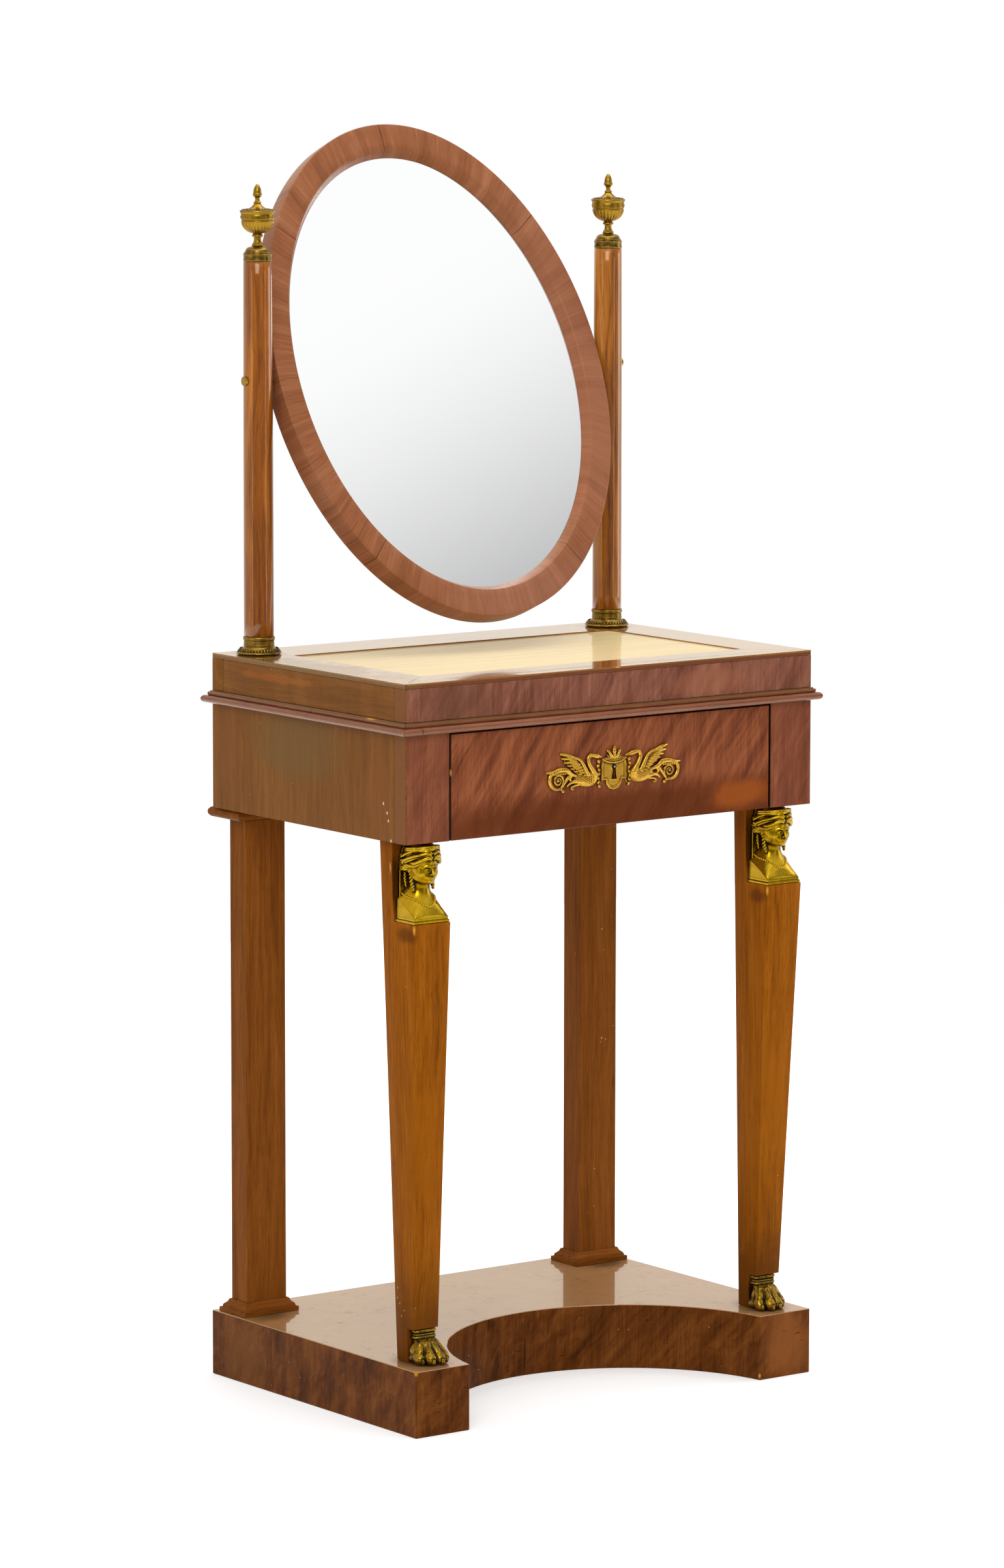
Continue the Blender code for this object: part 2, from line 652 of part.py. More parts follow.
def bust_ring(height, width, front, middle, square):
    """One level ring of the bust in shares: flat at the back, round in front."""
    power = 2 / square
    start = math.asin(min(middle / (front - middle), BUST_WRAP_SHARE) ** (1 / power))
    points = []
    for i in range(BUST_RING_POINTS + 1):
        angle = -start + (math.pi + 2 * start) * i / BUST_RING_POINTS
        cosine, sine = math.cos(angle), math.sin(angle)
        turn = abs(angle - math.pi / 2)
        growth = 1 + hair_relief(turn, height)
        across = growth * width * math.copysign(abs(cosine) ** power, cosine)
        forward = middle + growth * (front - middle) * math.copysign(abs(sine) ** power, sine)
        points.append((across, max(forward + face_relief(turn, height), 0), height))
    return points


def tube_rings(path, radii, sides=TUBE_SIDES, normal=(0, 1, 0)):
    """Rings of a tube along a path that lies across the normal."""
    rings = []
    normal = Vector(normal)
    path = [Vector(point) for point in path]
    for i, point in enumerate(path):
        along = (path[min(i + 1, len(path) - 1)] - path[max(i - 1, 0)]).normalized()
        across = along.cross(normal).normalized()
        out = across.cross(along)
        ring = []
        for k in range(sides):
            angle = math.tau * k / sides
            ring.append(point + radii[i] * (math.cos(angle) * across + math.sin(angle) * out))
        rings.append(ring)
    return rings


def resampled(points, count):
    """Points at even steps of the list along a smooth curve through the given ones."""
    points = [Vector(point) for point in points]
    last = len(points) - 1
    made = []
    for k in range(count):
        place = last * k / (count - 1)
        i = min(int(place), last - 1)
        t = place - i
        before, start, end, after = points[max(i - 1, 0)], points[i], points[i + 1], points[min(i + 2, last)]
        bend = 2 * before - 5 * start + 4 * end - after
        turn = 3 * start - before - 3 * end + after
        made.append(0.5 * (2 * start + (end - before) * t + bend * t**2 + turn * t**3))
    return made


def build_bust(side_name, side):
    """A small gilt bust between shoulder and case, with wavy hair, a diadem and ringlets."""
    half = BUST_SEAT_WIDTH / 2
    height = BUST_HEIGHT - 2 * GAP
    centre = (
        side * (LEG_INNER_X + half),
        FRONT_Y + BUST_REBATE_SETBACK - GAP,
        SHOULDER_Z + GAP,
    )

    def placed(point):
        return (point[0] * half, -point[1] * BUST_HEAD_DEPTH, point[2] * height)

    rings = [[placed(point) for point in bust_ring(*shares)] for shares in BUST_RING_SHARES]
    bust = add(f"bust_{side_name}", loft(rings), "gilt_bronze", centre, smooth=True)
    last = 4 * RINGLET_TWISTS
    radii = []
    for i in range(last + 1):
        taper = RINGLET_HEAD_SHARE + (RINGLET_TIP_SHARE - RINGLET_HEAD_SHARE) * i / last
        radii.append(RINGLET_RADIUS * taper * (1 + RINGLET_SWELL_SHARE * math.cos(math.pi * i / 2)))
    radii[0] = radii[-1] = RINGLET_RADIUS * RINGLET_END_SHARE
    for turn_name, turn in SIDES.items():
        path = resampled([placed((turn * x, y, z)) for x, y, z in RINGLET_PATH_SHARES], last + 1)
        name = f"ringlet_{side_name}_{turn_name}"
        join(bust, add(name, loft(tube_rings(path, radii)), "gilt_bronze", centre))
    stone = bmesh.new()
    bmesh.ops.create_icosphere(stone, subdivisions=2, radius=DIADEM_STONE_RADIUS)
    seat = Vector(centre) + Vector(placed(STONE_SEAT_SHARES))
    join(bust, add(f"diadem_stone_{side_name}", stone, "gilt_bronze", seat))


def paw_front(across, parted):
    """How far forward the paw reaches at a place across it, as shares, for toes that part this much."""
    smooth = (1 - abs(across) ** 3) ** (1 / 3)
    toes = PAW_WEB_SHARE * math.sqrt(max(1 - across**2, 0))
    for place, reach in TOE_SHARES:
        offset = (across - place) / TOE_RADIUS_SHARE
        if abs(offset) < 1:
            toes = max(toes, reach - TOE_ROUND_SHARE * (1 - math.sqrt(1 - offset**2)))
    return parted * toes + (1 - parted) * smooth


def paw_ring(centre, half, depth, height, parted):
    """One level ring of the paw: its front follows the toes, its back is flat."""
    points = []
    for i in range(PAW_RING_POINTS + 1):
        across = 2 * i / PAW_RING_POINTS - 1
        reach = max(paw_front(across, parted), PAW_SIDE_SHARE)
        points.append((centre + half * across, -depth * reach, height))
    return [*points, (centre + half, 0, height), (centre - half, 0, height)]


def build_paw(side_name, side):
    """A gilt lion's paw under the leg, with a collar of three rings."""
    height = PAW_HEIGHT - 2 * GAP
    leg_middle = (LEG_INNER_X + front_leg_outer(SHIN_Z)) / 2
    place = (side * leg_middle, FRONT_Y + PAW_REBATE_SETBACK - GAP, PLINTH_HEIGHT + GAP)
    rings = []
    for level, half, depth, parted in PAW_RING_SHARES:
        centre = PAW_COLLAR_SHIFT + (1 - level) * (-PAW_TOE_SHIFT - PAW_COLLAR_SHIFT)
        rings.append(paw_ring(centre, half * PAW_WIDTH / 2, depth * PAW_DEPTH, level * height, parted))
    pitch = (1 - PAW_COLLAR_LOW_SHARE) / PAW_COLLAR_RINGS
    for k in range(PAW_COLLAR_RINGS):
        for rise, half, depth in PAW_COLLAR_SHARES:
            level = height * (PAW_COLLAR_LOW_SHARE + pitch * (k + rise))
            reach = depth * PAW_COLLAR_DEPTH_SHARE * PAW_DEPTH
            rings.append(paw_ring(PAW_COLLAR_SHIFT, half * PAW_COLLAR_WIDTH / 2, reach, level, 0))
    for ring in rings:
        ring[:] = [(side * x, y, z) for x, y, z in ring]
    add(f"paw_{side_name}", loft(rings), "gilt_bronze", place, smooth=True)


def build_lower_case():
    """The boards round the drawer, and the rail above it with its mortise for the bolt."""
    inner = CASE_HALF - CASE_BOARD
    for side_name, side in SIDES.items():
        left, right = span(inner, CASE_HALF, side)
        low = (left, FRONT_Y + CASE_BOARD + GAP, CASE_UNDERSIDE)
        box(f"case_side_{side_name}", low, (right, BACK_Y, LOWER_TOP), "case_mahogany")
        left, right = span(OPENING_HALF, CASE_HALF, side)
        high = (right, FRONT_Y + CASE_BOARD, LOWER_TOP)
        box(f"front_stile_{side_name}", (left, FRONT_Y, CASE_UNDERSIDE), high, "front_mahogany")
    low = (GAP - inner, BACK_Y - CASE_BOARD, CASE_UNDERSIDE)
    box("case_back", low, (inner - GAP, BACK_Y, LOWER_TOP), "case_mahogany")

    low = (GAP - OPENING_HALF, FRONT_Y, MOULDING_UNDERSIDE)
    high = (OPENING_HALF - GAP, FRONT_Y + RAIL_DEPTH, LOWER_TOP)
    rail = box("rail_above_drawer", low, high, "front_mahogany")
    play = 2 * GAP
    half_width, half_depth = STRIKE_WIDTH / 2, STRIKE_DEPTH / 2
    low = (-half_width - GAP, LOCK_Y - half_depth - GAP, MOULDING_UNDERSIDE - OVERRUN)
    high = (half_width + GAP, LOCK_Y + half_depth + GAP, MOULDING_UNDERSIDE + STRIKE_THICKNESS + GAP)
    cut(rail, box("strike_recess", low, high, "front_mahogany"))
    slot_low = (-BOLT_WIDTH / 2 - play, LOCK_Y - BOLT_DEPTH / 2 - play, MOULDING_UNDERSIDE - OVERRUN)
    slot_high = (BOLT_WIDTH / 2 + play, LOCK_Y + BOLT_DEPTH / 2 + play, BOLT_TOP + BOLT_THROW + play)
    cut(rail, box("bolt_mortise", slot_low, slot_high, "front_mahogany"))

    low = (-half_width, LOCK_Y - half_depth, MOULDING_UNDERSIDE)
    high = (half_width, LOCK_Y + half_depth, MOULDING_UNDERSIDE + STRIKE_THICKNESS)
    strike = box("strike_plate", low, high, "brass")
    cut(strike, box("strike_slot", slot_low, slot_high, "brass"))


def build_runners():
    """An L-shaped runner on each side: the drawer stands on its ledge and runs along its guide."""
    front = FRONT_Y + max(CASE_BOARD, DRAWER_FRONT_THICKNESS) + GAP
    back = BACK_Y - CASE_BOARD - GAP
    outer = CASE_HALF - CASE_BOARD - GAP
    ledge_top = CASE_UNDERSIDE + RUNNER_HEIGHT
    outline = (
        (DRAWER_HALF - RUNNER_LEDGE, CASE_UNDERSIDE),
        (outer, CASE_UNDERSIDE),
        (outer, ledge_top + GUIDE_HEIGHT),
        (DRAWER_HALF + GUIDE_PLAY, ledge_top + GUIDE_HEIGHT),
        (DRAWER_HALF + GUIDE_PLAY, ledge_top),
        (DRAWER_HALF - RUNNER_LEDGE, ledge_top),
    )
    for side_name, side in SIDES.items():
        rings = [[(side * x, y, z) for x, z in outline] for y in (front, back)]
        add(f"drawer_runner_{side_name}", loft(rings), "pine")


def moulding_profile():
    """Reach from the case and height of the waist moulding's outline: a half-round nose under a bead."""
    nose = NOSE_HEIGHT / 2
    points = [(GAP, MOULDING_UNDERSIDE)]
    for i in range(9):
        angle = math.pi * (i / 8 - 0.5)
        reach = MOULDING_REACH - nose + nose * math.cos(angle)
        points.append((reach, MOULDING_UNDERSIDE + nose + nose * math.sin(angle)))
    bead_low = MOULDING_UNDERSIDE + NOSE_HEIGHT
    bead_top = LOWER_TOP - FILLET_HEIGHT
    bead = (bead_top - bead_low) / 2
    for i in range(5):
        angle = math.pi * (i / 4 - 0.5)
        reach = BEAD_REACH + BEAD_FULLNESS_SHARE * bead * (math.cos(angle) - 1)
        points.append((reach, bead_low + bead * (1 + math.sin(angle))))
    return [*points, (FILLET_REACH, bead_top), (FILLET_REACH, LOWER_TOP), (GAP, LOWER_TOP)]


def build_mouldings():
    """Four mitred strips of moulding round the case."""
    runs = (
        ("front", CASE_HALF, CASE_DEPTH / 2, 0),
        ("right", CASE_DEPTH / 2, CASE_HALF, 1),
        ("back", CASE_HALF, CASE_DEPTH / 2, 2),
        ("left", CASE_DEPTH / 2, CASE_HALF, 3),
    )
    for name, half, out, quarter in runs:
        cosine, sine = math.cos(quarter * math.pi / 2), math.sin(quarter * math.pi / 2)
        rings = []
        for end in (-1, 1):
            ring = []
            for reach, height in moulding_profile():
                x, y = end * (half + reach - GAP), -out - reach
                ring.append((x * cosine - y * sine, x * sine + y * cosine, height))
            rings.append(ring)
        add(f"waist_moulding_{name}", loft(rings), "front_mahogany", smooth=True)


def build_upper_box():
    """The shallow box above the moulding, and the board inside it that carries the top."""
    low_z, high_z = LOWER_TOP + GAP, BORDER_UNDERSIDE - GAP
    inner_x, inner_y = CASE_HALF - CASE_BOARD, CASE_DEPTH / 2 - CASE_BOARD
    box("upper_front", (-CASE_HALF, FRONT_Y, low_z), (CASE_HALF, -inner_y, high_z), "front_mahogany")
    box("upper_back", (-CASE_HALF, inner_y, low_z), (CASE_HALF, BACK_Y, high_z), "case_mahogany")
    for side_name, side in SIDES.items():
        left, right = span(inner_x, CASE_HALF, side)
        high = (right, inner_y - GAP, high_z)
        box(f"upper_side_{side_name}", (left, GAP - inner_y, low_z), high, "case_mahogany")
    low = (GAP - inner_x, GAP - inner_y, high_z - SUB_TOP_THICKNESS)
    return box("sub_top", low, (inner_x - GAP, inner_y - GAP, high_z), "pine")


def build_top():
    """The mitred borders and the sunk panel between them. It returns the borders by name."""
    left, right, front, back = -CASE_HALF, CASE_HALF, FRONT_Y, BACK_Y
    in_left, in_right = left + BORDER_SIDE_WIDTH, right - BORDER_SIDE_WIDTH
    in_front, in_back = front + BORDER_FRONT_WIDTH, back - BORDER_BACK_WIDTH
    runs = {
        "front": ((left + GAP, right - GAP, in_right - GAP, in_left + GAP), (front, in_front)),
        "right": ((right, in_right), (front + GAP, back - GAP, in_back - GAP, in_front + GAP)),
        "back": ((left + GAP, right - GAP, in_right - GAP, in_left + GAP), (back, in_back)),
        "left": ((left, in_left), (front + GAP, back - GAP, in_back - GAP, in_front + GAP)),
    }
    outlines = {}
    for name, (x, y) in runs.items():
        if len(x) == 2:
            x = (x[0], x[0], x[1], x[1])
        else:
            y = (y[0], y[0], y[1], y[1])
        outlines[name] = list(zip(x, y))
    borders = {
        name: add(f"top_border_{name}", prism(outline, BORDER_UNDERSIDE, CASE_TOP), "top_mahogany")
        for name, outline in outlines.items()
    }
    low = (in_left + GAP, in_front + GAP, BORDER_UNDERSIDE)
    box("top_panel", low, (in_right - GAP, in_back - GAP, CASE_TOP - PANEL_DROP), "top_inset")
    return borders


def build_column(side_name, side, carriers):
    """A column with its dowel in the top, its gilt collar, cap and finial, and its pivot pin."""
    centre = (side * COLUMN_X, COLUMN_Y, CASE_TOP)
    shaft_foot = COLLAR_HEIGHT + GAP
    profile = (
        (COLUMN_DOWEL_RADIUS, -COLUMN_DOWEL_LENGTH),
        (COLUMN_DOWEL_RADIUS, GAP),
        (COLUMN_TENON_RADIUS, GAP),
        (COLUMN_TENON_RADIUS, shaft_foot),
        (COLUMN_FOOT_RADIUS, shaft_foot),
        (COLUMN_TOP_RADIUS, COLUMN_HEIGHT),
    )
    rings = [circle(radius, height) for radius, height in profile]
    column = add(f"column_{side_name}", loft(rings), "column_mahogany", centre, smooth=True)
    hole = [circle(COLUMN_DOWEL_RADIUS + GAP, height) for height in (-COLUMN_DOWEL_LENGTH - GAP, OVERRUN)]
    dowel_hole = add(f"dowel_hole_{side_name}", loft(hole), "pine", centre)
    for carrier in carriers:
        cut(carrier, dowel_hole)

    bore = COLUMN_TENON_RADIUS + GAP
    profile = [(bore, COLLAR_HEIGHT), (bore, GAP)]
    for radius, height in COLLAR_OUTER_SHARES:
        profile.append((COLLAR_FLARE_RADIUS * radius, GAP + (COLLAR_HEIGHT - GAP) * height))
    rings = [circle(radius, height) for radius, height in profile]
    add(f"column_collar_{side_name}", loft(rings, wrap=True), "gilt_bronze", centre, smooth=True)

    cap_foot = COLUMN_HEIGHT + GAP
    profile = [(BAND_RADIUS, cap_foot), (BAND_RADIUS, COLUMN_HEIGHT + BAND_HEIGHT)]
    shoulder = BAND_RADIUS * DOME_SHOULDER_SHARE
    for i in range(1, 5):
        angle = math.pi / 2 * i / 5
        reach = FINIAL_SEAT_RADIUS + (shoulder - FINIAL_SEAT_RADIUS) * math.cos(angle)
        profile.append((reach, COLUMN_HEIGHT + BAND_HEIGHT + DOME_HEIGHT * math.sin(angle)))
    finial_foot = COLUMN_HEIGHT + BAND_HEIGHT + DOME_HEIGHT
    profile.append((FINIAL_SEAT_RADIUS, finial_foot))
    rings = [circle(radius, height) for radius, height in profile]
    add(f"column_cap_{side_name}", loft(rings), "gilt_bronze", centre, smooth=True)

    rings = []
    for radius, height in FINIAL_SHARES:
        reach = FINIAL_RADIUS * radius
        flute = reach * FLUTE_DEPTH_SHARE * (FLUTED_FROM_SHARE < height < FLUTED_TO_SHARE)
        rings.append(circle(reach, finial_foot + GAP + FINIAL_HEIGHT * height, FINIAL_STEPS, flute))
    add(f"finial_{side_name}", loft(rings), "gilt_bronze", centre, smooth=True)

    axis = (COLUMN_Y, PIVOT_Z)
    outside = COLUMN_X + COLUMN_FOOT_RADIUS
    low, high = span(COLUMN_X - COLUMN_FOOT_RADIUS - OVERRUN, outside + OVERRUN, side)
    cut(column, rod(f"pivot_hole_{side_name}", PIVOT_RADIUS + PIVOT_PLAY, low, high, axis, "brass"))
    low, high = span(MIRROR_WIDTH / 2 - PIVOT_GRIP, outside + GAP + PIVOT_HEAD_THICKNESS, side)
    pin = rod(f"pivot_pin_{side_name}", PIVOT_RADIUS, low, high, axis, "brass")
    low, high = span(outside + GAP, outside + GAP + PIVOT_HEAD_THICKNESS, side)
    join(pin, rod(f"pivot_head_{side_name}", PIVOT_HEAD_RADIUS, low, high, axis, "brass"))


def oval(half_width, half_height, depth):
    """A ring of points of an upright ellipse."""
    points = []
    for i in range(OVAL_STEPS):
        angle = math.tau * i / OVAL_STEPS
        points.append((half_width * math.cos(angle), depth, half_height * math.sin(angle)))
    return points


def build_mirror():
    """The oval frame with its glass, its backboard and the bushes that turn on the pins."""
    pivot = (0, COLUMN_Y, PIVOT_Z)
    axis = empty("mirror_axis", pivot, (-MIRROR_LEAN, 0, 0))
    half_width, half_height = MIRROR_WIDTH / 2, MIRROR_HEIGHT / 2
    face = -AXIS_BEHIND_FACE
    back = face + MIRROR_THICKNESS
    step = face + FRAME_BEVEL_DEPTH
    opening = (half_width - FRAME_SIDE_WIDTH, half_height - FRAME_END_WIDTH)
    sight = (opening[0] - FRAME_BEVEL_WIDTH, opening[1] - FRAME_BEVEL_WIDTH)

    def frame_ring(inset, depth):
        return oval(half_width - inset, half_height - inset, depth)

    def sight_ring(growth, depth):
        return oval(sight[0] + growth, sight[1] + growth, depth)

    profile = [
        frame_ring(0, back),
        frame_ring(0, face + FRAME_EDGE_ROUND),
        frame_ring(FRAME_EDGE_ROUND * FRAME_EDGE_SHARE, face + FRAME_EDGE_ROUND * FRAME_EDGE_SHARE),
        frame_ring(FRAME_EDGE_ROUND, face),
        oval(*opening, face),
        sight_ring(0, step),
        sight_ring(REBATE_WIDTH, step),
        sight_ring(REBATE_WIDTH, back),
    ]
    frame = add("mirror_frame", loft(profile, wrap=True), "frame_mahogany", pivot, axis, smooth=True)

    fit = REBATE_WIDTH - GAP
    glass_face = step + GAP
    glass_back = glass_face + GLASS_THICKNESS
    rings = [
        sight_ring(fit - GLASS_EDGE_BEVEL, glass_face),
        sight_ring(fit, glass_face + GLASS_EDGE_BEVEL),
        sight_ring(fit, glass_back),
    ]
    add("mirror_glass", loft(rings), "mirror_glass", pivot, axis)
    board_face = glass_back + GAP
    rings = [sight_ring(fit, board_face), sight_ring(fit, board_face + BACKBOARD_THICKNESS)]
    add("mirror_backboard", loft(rings), "pine", pivot, axis)

    line = (COLUMN_Y, PIVOT_Z)
    for side_name, side in SIDES.items():
        low, high = span(half_width - BUSH_LENGTH - GAP, half_width + OVERRUN, side)
        cut(frame, rod(f"bush_hole_{side_name}", BUSH_RADIUS + GAP, low, high, line, "brass", axis))
        low, high = span(half_width - BUSH_LENGTH, half_width - GAP, side)
        bore = PIVOT_RADIUS + PIVOT_PLAY
        rod(f"pivot_bush_{side_name}", BUSH_RADIUS, low, high, line, "brass", axis, bore)


def keyhole_outline():
    """The keyhole round its own head: a circle over a skirt that widens downwards."""
    waist = math.asin(KEYHOLE_WAIST / 2 / KEYHOLE_RADIUS)
    points = [(KEYHOLE_SKIRT / 2, -KEYHOLE_DROP)]
    for i in range(13):
        angle = -math.pi / 2 + waist + (math.tau - 2 * waist) * i / 12
        points.append((KEYHOLE_RADIUS * math.cos(angle), KEYHOLE_RADIUS * math.sin(angle)))
    return [*points, (-KEYHOLE_SKIRT / 2, -KEYHOLE_DROP)]


def keyhole_cutter(name, low_y, high_y, parent):
    """The keyhole's shape, long enough to open what lies between two depths."""
    rings = [[(x, y, z) for x, z in keyhole_outline()] for y in (low_y - FRONT_Y, high_y - FRONT_Y)]
    return add(name, loft(rings), "front_mahogany", (0, FRONT_Y, KEYHOLE_Z), parent)


def build_drawer():
    """The drawer box on its runners. It returns the empty that the drawer's pieces hang from."""
    slide = empty("drawer_axis", (0, FRONT_Y, KEYHOLE_Z))
    inner = DRAWER_HALF - DRAWER_BOARD
    low = (-DRAWER_HALF, FRONT_Y, CASE_UNDERSIDE)
    high = (DRAWER_HALF, DRAWER_FRONT_BACK_Y, DRAWER_TOP)
    front = box("drawer_front", low, high, "front_mahogany", slide, worn=True)
    cut(front, keyhole_cutter("front_keyhole", FRONT_Y - OVERRUN, DRAWER_FRONT_BACK_Y + OVERRUN, slide))

    bottom_low = DRAWER_SIDE_LOW + DRAWER_BOTTOM_RISE
    bottom_top = bottom_low + DRAWER_BOTTOM_THICKNESS
    groove = (inner + DRAWER_GROOVE, DRAWER_FRONT_BACK_Y - DRAWER_GROOVE)
    low = (GAP - groove[0], groove[1] + GAP, bottom_low)
    box("drawer_bottom", low, (groove[0] - GAP, DRAWER_REAR_Y, bottom_top), "drawer_oak", slide)
    low = (-groove[0], groove[1], bottom_low - GAP)
    high = (groove[0], DRAWER_REAR_Y + OVERRUN, bottom_top + GAP)
    grooves = box("bottom_groove", low, high, "drawer_oak", slide)
    cut(front, grooves)
    for side_name, side in SIDES.items():
        left, right = span(inner, DRAWER_HALF, side)
        low = (left, DRAWER_FRONT_BACK_Y + GAP, DRAWER_SIDE_LOW)
        high = (right, DRAWER_REAR_Y, DRAWER_SIDE_TOP)
        board = box(f"drawer_side_{side_name}", low, high, "drawer_oak", slide)
        cut(board, grooves)
    low = (GAP - inner, DRAWER_REAR_Y - DRAWER_BOARD, bottom_top + GAP)
    box("drawer_back", low, (inner - GAP, DRAWER_REAR_Y, DRAWER_SIDE_TOP), "drawer_oak", slide)
    return slide


def build_lock(slide):
    """The lock on the back of the drawer front, with its drill pin in the keyhole, and its bolt."""
    half_width, half_depth = LOCK_WIDTH / 2, LOCK_DEPTH / 2
    low = (-half_width, LOCK_Y - half_depth, KEYHOLE_Z - LOCK_BELOW_KEYHOLE)
    lock = box("lock_case", low, (half_width, LOCK_Y + half_depth, DRAWER_TOP), "steel", slide)
    pin_length = LOCK_Y - (FRONT_Y - DRILL_PIN_REACH)
    rings = [
        [(x, y, z) for x, z, y in circle(DRILL_PIN_RADIUS, height, TUBE_SIDES)] for height in (-pin_length, 0)
    ]
    join(lock, add("drill_pin", loft(rings), "steel", (0, LOCK_Y, KEYHOLE_Z), slide))
    play = GAP
    low = (-BOLT_WIDTH / 2 - play, LOCK_Y - BOLT_DEPTH / 2 - play, BOLT_TOP - BOLT_LENGTH - play)
    high = (BOLT_WIDTH / 2 + play, LOCK_Y + BOLT_DEPTH / 2 + play, DRAWER_TOP + OVERRUN)
    cut(lock, box("bolt_slot", low, high, "steel", slide))

    bolt_axis = empty("bolt_axis", Vector((0, LOCK_Y, BOLT_TOP)) - slide.location)
    bolt_axis.parent = slide
    low = (-BOLT_WIDTH / 2, LOCK_Y - BOLT_DEPTH / 2, BOLT_TOP - BOLT_LENGTH)
    bolt = box("lock_bolt", low, (BOLT_WIDTH / 2, LOCK_Y + BOLT_DEPTH / 2, BOLT_TOP), "steel")
    bolt.parent = bolt_axis
    bolt.location = (0, 0, -BOLT_LENGTH / 2)


def mount_point(shares, side=1):
    """A place on the keyhole mount, from its shares of the half-width and height."""
    return (side * shares[0] * ESCUTCHEON_WIDTH / 2, shares[1] * ESCUTCHEON_HEIGHT)


def plate(outline, relief):
    """A flat outline raised from the drawer front by the relief, with a narrower face."""
    middle = Vector((sum(x for x, _ in outline), sum(z for _, z in outline))) / len(outline)
    face = [middle + (Vector(point) - middle) * PLATE_FACE_SHARE for point in outline]
    return loft([
        [(x, -GAP, z) for x, z in outline],
        [(x, -PLATE_EDGE_SHARE * relief, z) for x, z in outline],
        [(x, -relief, z) for x, z in face],
    ])


def dome(centre, reach, relief):
    """A low oval boss on the drawer front."""
    shape = bmesh.new()
    bmesh.ops.create_uvsphere(shape, u_segments=14, v_segments=8, radius=1)
    for vert in shape.verts:
        vert.co = (centre[0] + vert.co.x * reach[0], vert.co.y * relief, centre[1] + vert.co.z * reach[1])
    return shape


def build_escutcheon(slide):
    """The gilt keyhole mount: a shield under a crest, between two swans whose tails end in volutes."""
    place = (0, FRONT_Y, KEYHOLE_Z)
    right = [mount_point(shares) for shares in SHIELD_SHARES]
    left = [(-x, z) for x, z in reversed(right)]
    foot = mount_point((0, SHIELD_FOOT_SHARE))
    shield = add("escutcheon", plate([*right, foot, *left], SHIELD_RELIEF), "gilt_bronze", place, slide)

    def take_in(name, shape):
        join(shield, add(name, shape, "gilt_bronze", place, slide))

    def tube(name, path, radii):
        line = [(x, -TUBE_RISE_SHARE * radius, z) for (x, z), radius in zip(path, radii)]
        take_in(name, loft(tube_rings(line, radii)))

    take_in("crest", dome(mount_point(CREST_CENTRE_SHARES), mount_point(CREST_REACH_SHARES), SHIELD_RELIEF))
    for side_name, side in SIDES.items():
        reach = mount_point(BODY_REACH_SHARES)
        body = dome(mount_point(BODY_CENTRE_SHARES, side), reach, BODY_RELIEF)
        take_in(f"swan_body_{side_name}", body)
        wing = [mount_point(shares, side) for shares in WING_SHARES]
        take_in(f"swan_wing_{side_name}", plate(wing, WING_RELIEF))
        leaf = [mount_point(shares, side) for shares in LEAF_SHARES]
        take_in(f"leaf_{side_name}", plate(leaf, LEAF_RELIEF))
        neck = resampled([(*mount_point(shares, side), 0) for shares in NECK_SHARES], NECK_STEPS)
        taper = resampled([(share, 0, 0) for share in NECK_TAPER_SHARES], NECK_STEPS)
        radii = [NECK_RADIUS * share.x for share in taper]
        tube(f"swan_neck_{side_name}", [point[:2] for point in neck], radii)
        path = [mount_point(shares, side) for shares in TAIL_SHARES]
        centre = mount_point(VOLUTE_CENTRE_SHARES, side)
        for i in range(VOLUTE_STEPS + 1):
            share = i / VOLUTE_STEPS
            angle = VOLUTE_START + share * VOLUTE_TURNS * math.tau
            reach = SCROLL_OUTER_REACH + share * (SCROLL_INNER_REACH - SCROLL_OUTER_REACH)
            path.append((centre[0] + side * reach * math.cos(angle), centre[1] + reach * math.sin(angle)))
        radii = [SCROLL_RADIUS * (1 - SCROLL_TAPER_SHARE * i / len(path)) for i in range(len(path))]
        tube(f"volute_{side_name}", path, radii)

    back = FRONT_Y - GAP
    half, height = ESCUTCHEON_WIDTH, ESCUTCHEON_HEIGHT
    low = (-half, back, KEYHOLE_Z - height)
    high = (half, back + BODY_RELIEF + OVERRUN, KEYHOLE_Z + height)
    cut(shield, box("drawer_face", low, high, "front_mahogany", slide))
    front = FRONT_Y - BODY_RELIEF - OVERRUN
    cut(shield, keyhole_cutter("mount_keyhole", front, FRONT_Y + OVERRUN, slide))


def main():
    """Build the table from the floor up."""
    clear_scene()
    build_plinth()
    for side_name, side in SIDES.items():
        build_rear_leg(side_name, side)
        build_front_leg(side_name, side)
        build_bust(side_name, side)
        build_paw(side_name, side)
    build_lower_case()
    build_runners()
    build_mouldings()
    sub_top = build_upper_box()
    borders = build_top()
    for side_name, side in SIDES.items():
        build_column(side_name, side, (borders["back"], borders[side_name], sub_top))
    build_mirror()
    slide = build_drawer()
    build_lock(slide)
    build_escutcheon(slide)


if __name__ == "__main__":
    main()
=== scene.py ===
"""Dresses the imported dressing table: finishes, carved and gilt pieces, studio light and camera.

Metres, +Z up, the front faces -Y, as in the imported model. Each finished piece keeps its object at the
origin, with its place in its mesh, so a pattern on Object coordinates stays where it is.
"""

import logging
import math
import random
from collections.abc import Callable, Iterable, Iterator, Sequence
from dataclasses import dataclass, replace
from enum import Enum

import bmesh
import bpy
import numpy as np
from mathutils import Matrix, Vector
from mathutils.bvhtree import BVHTree


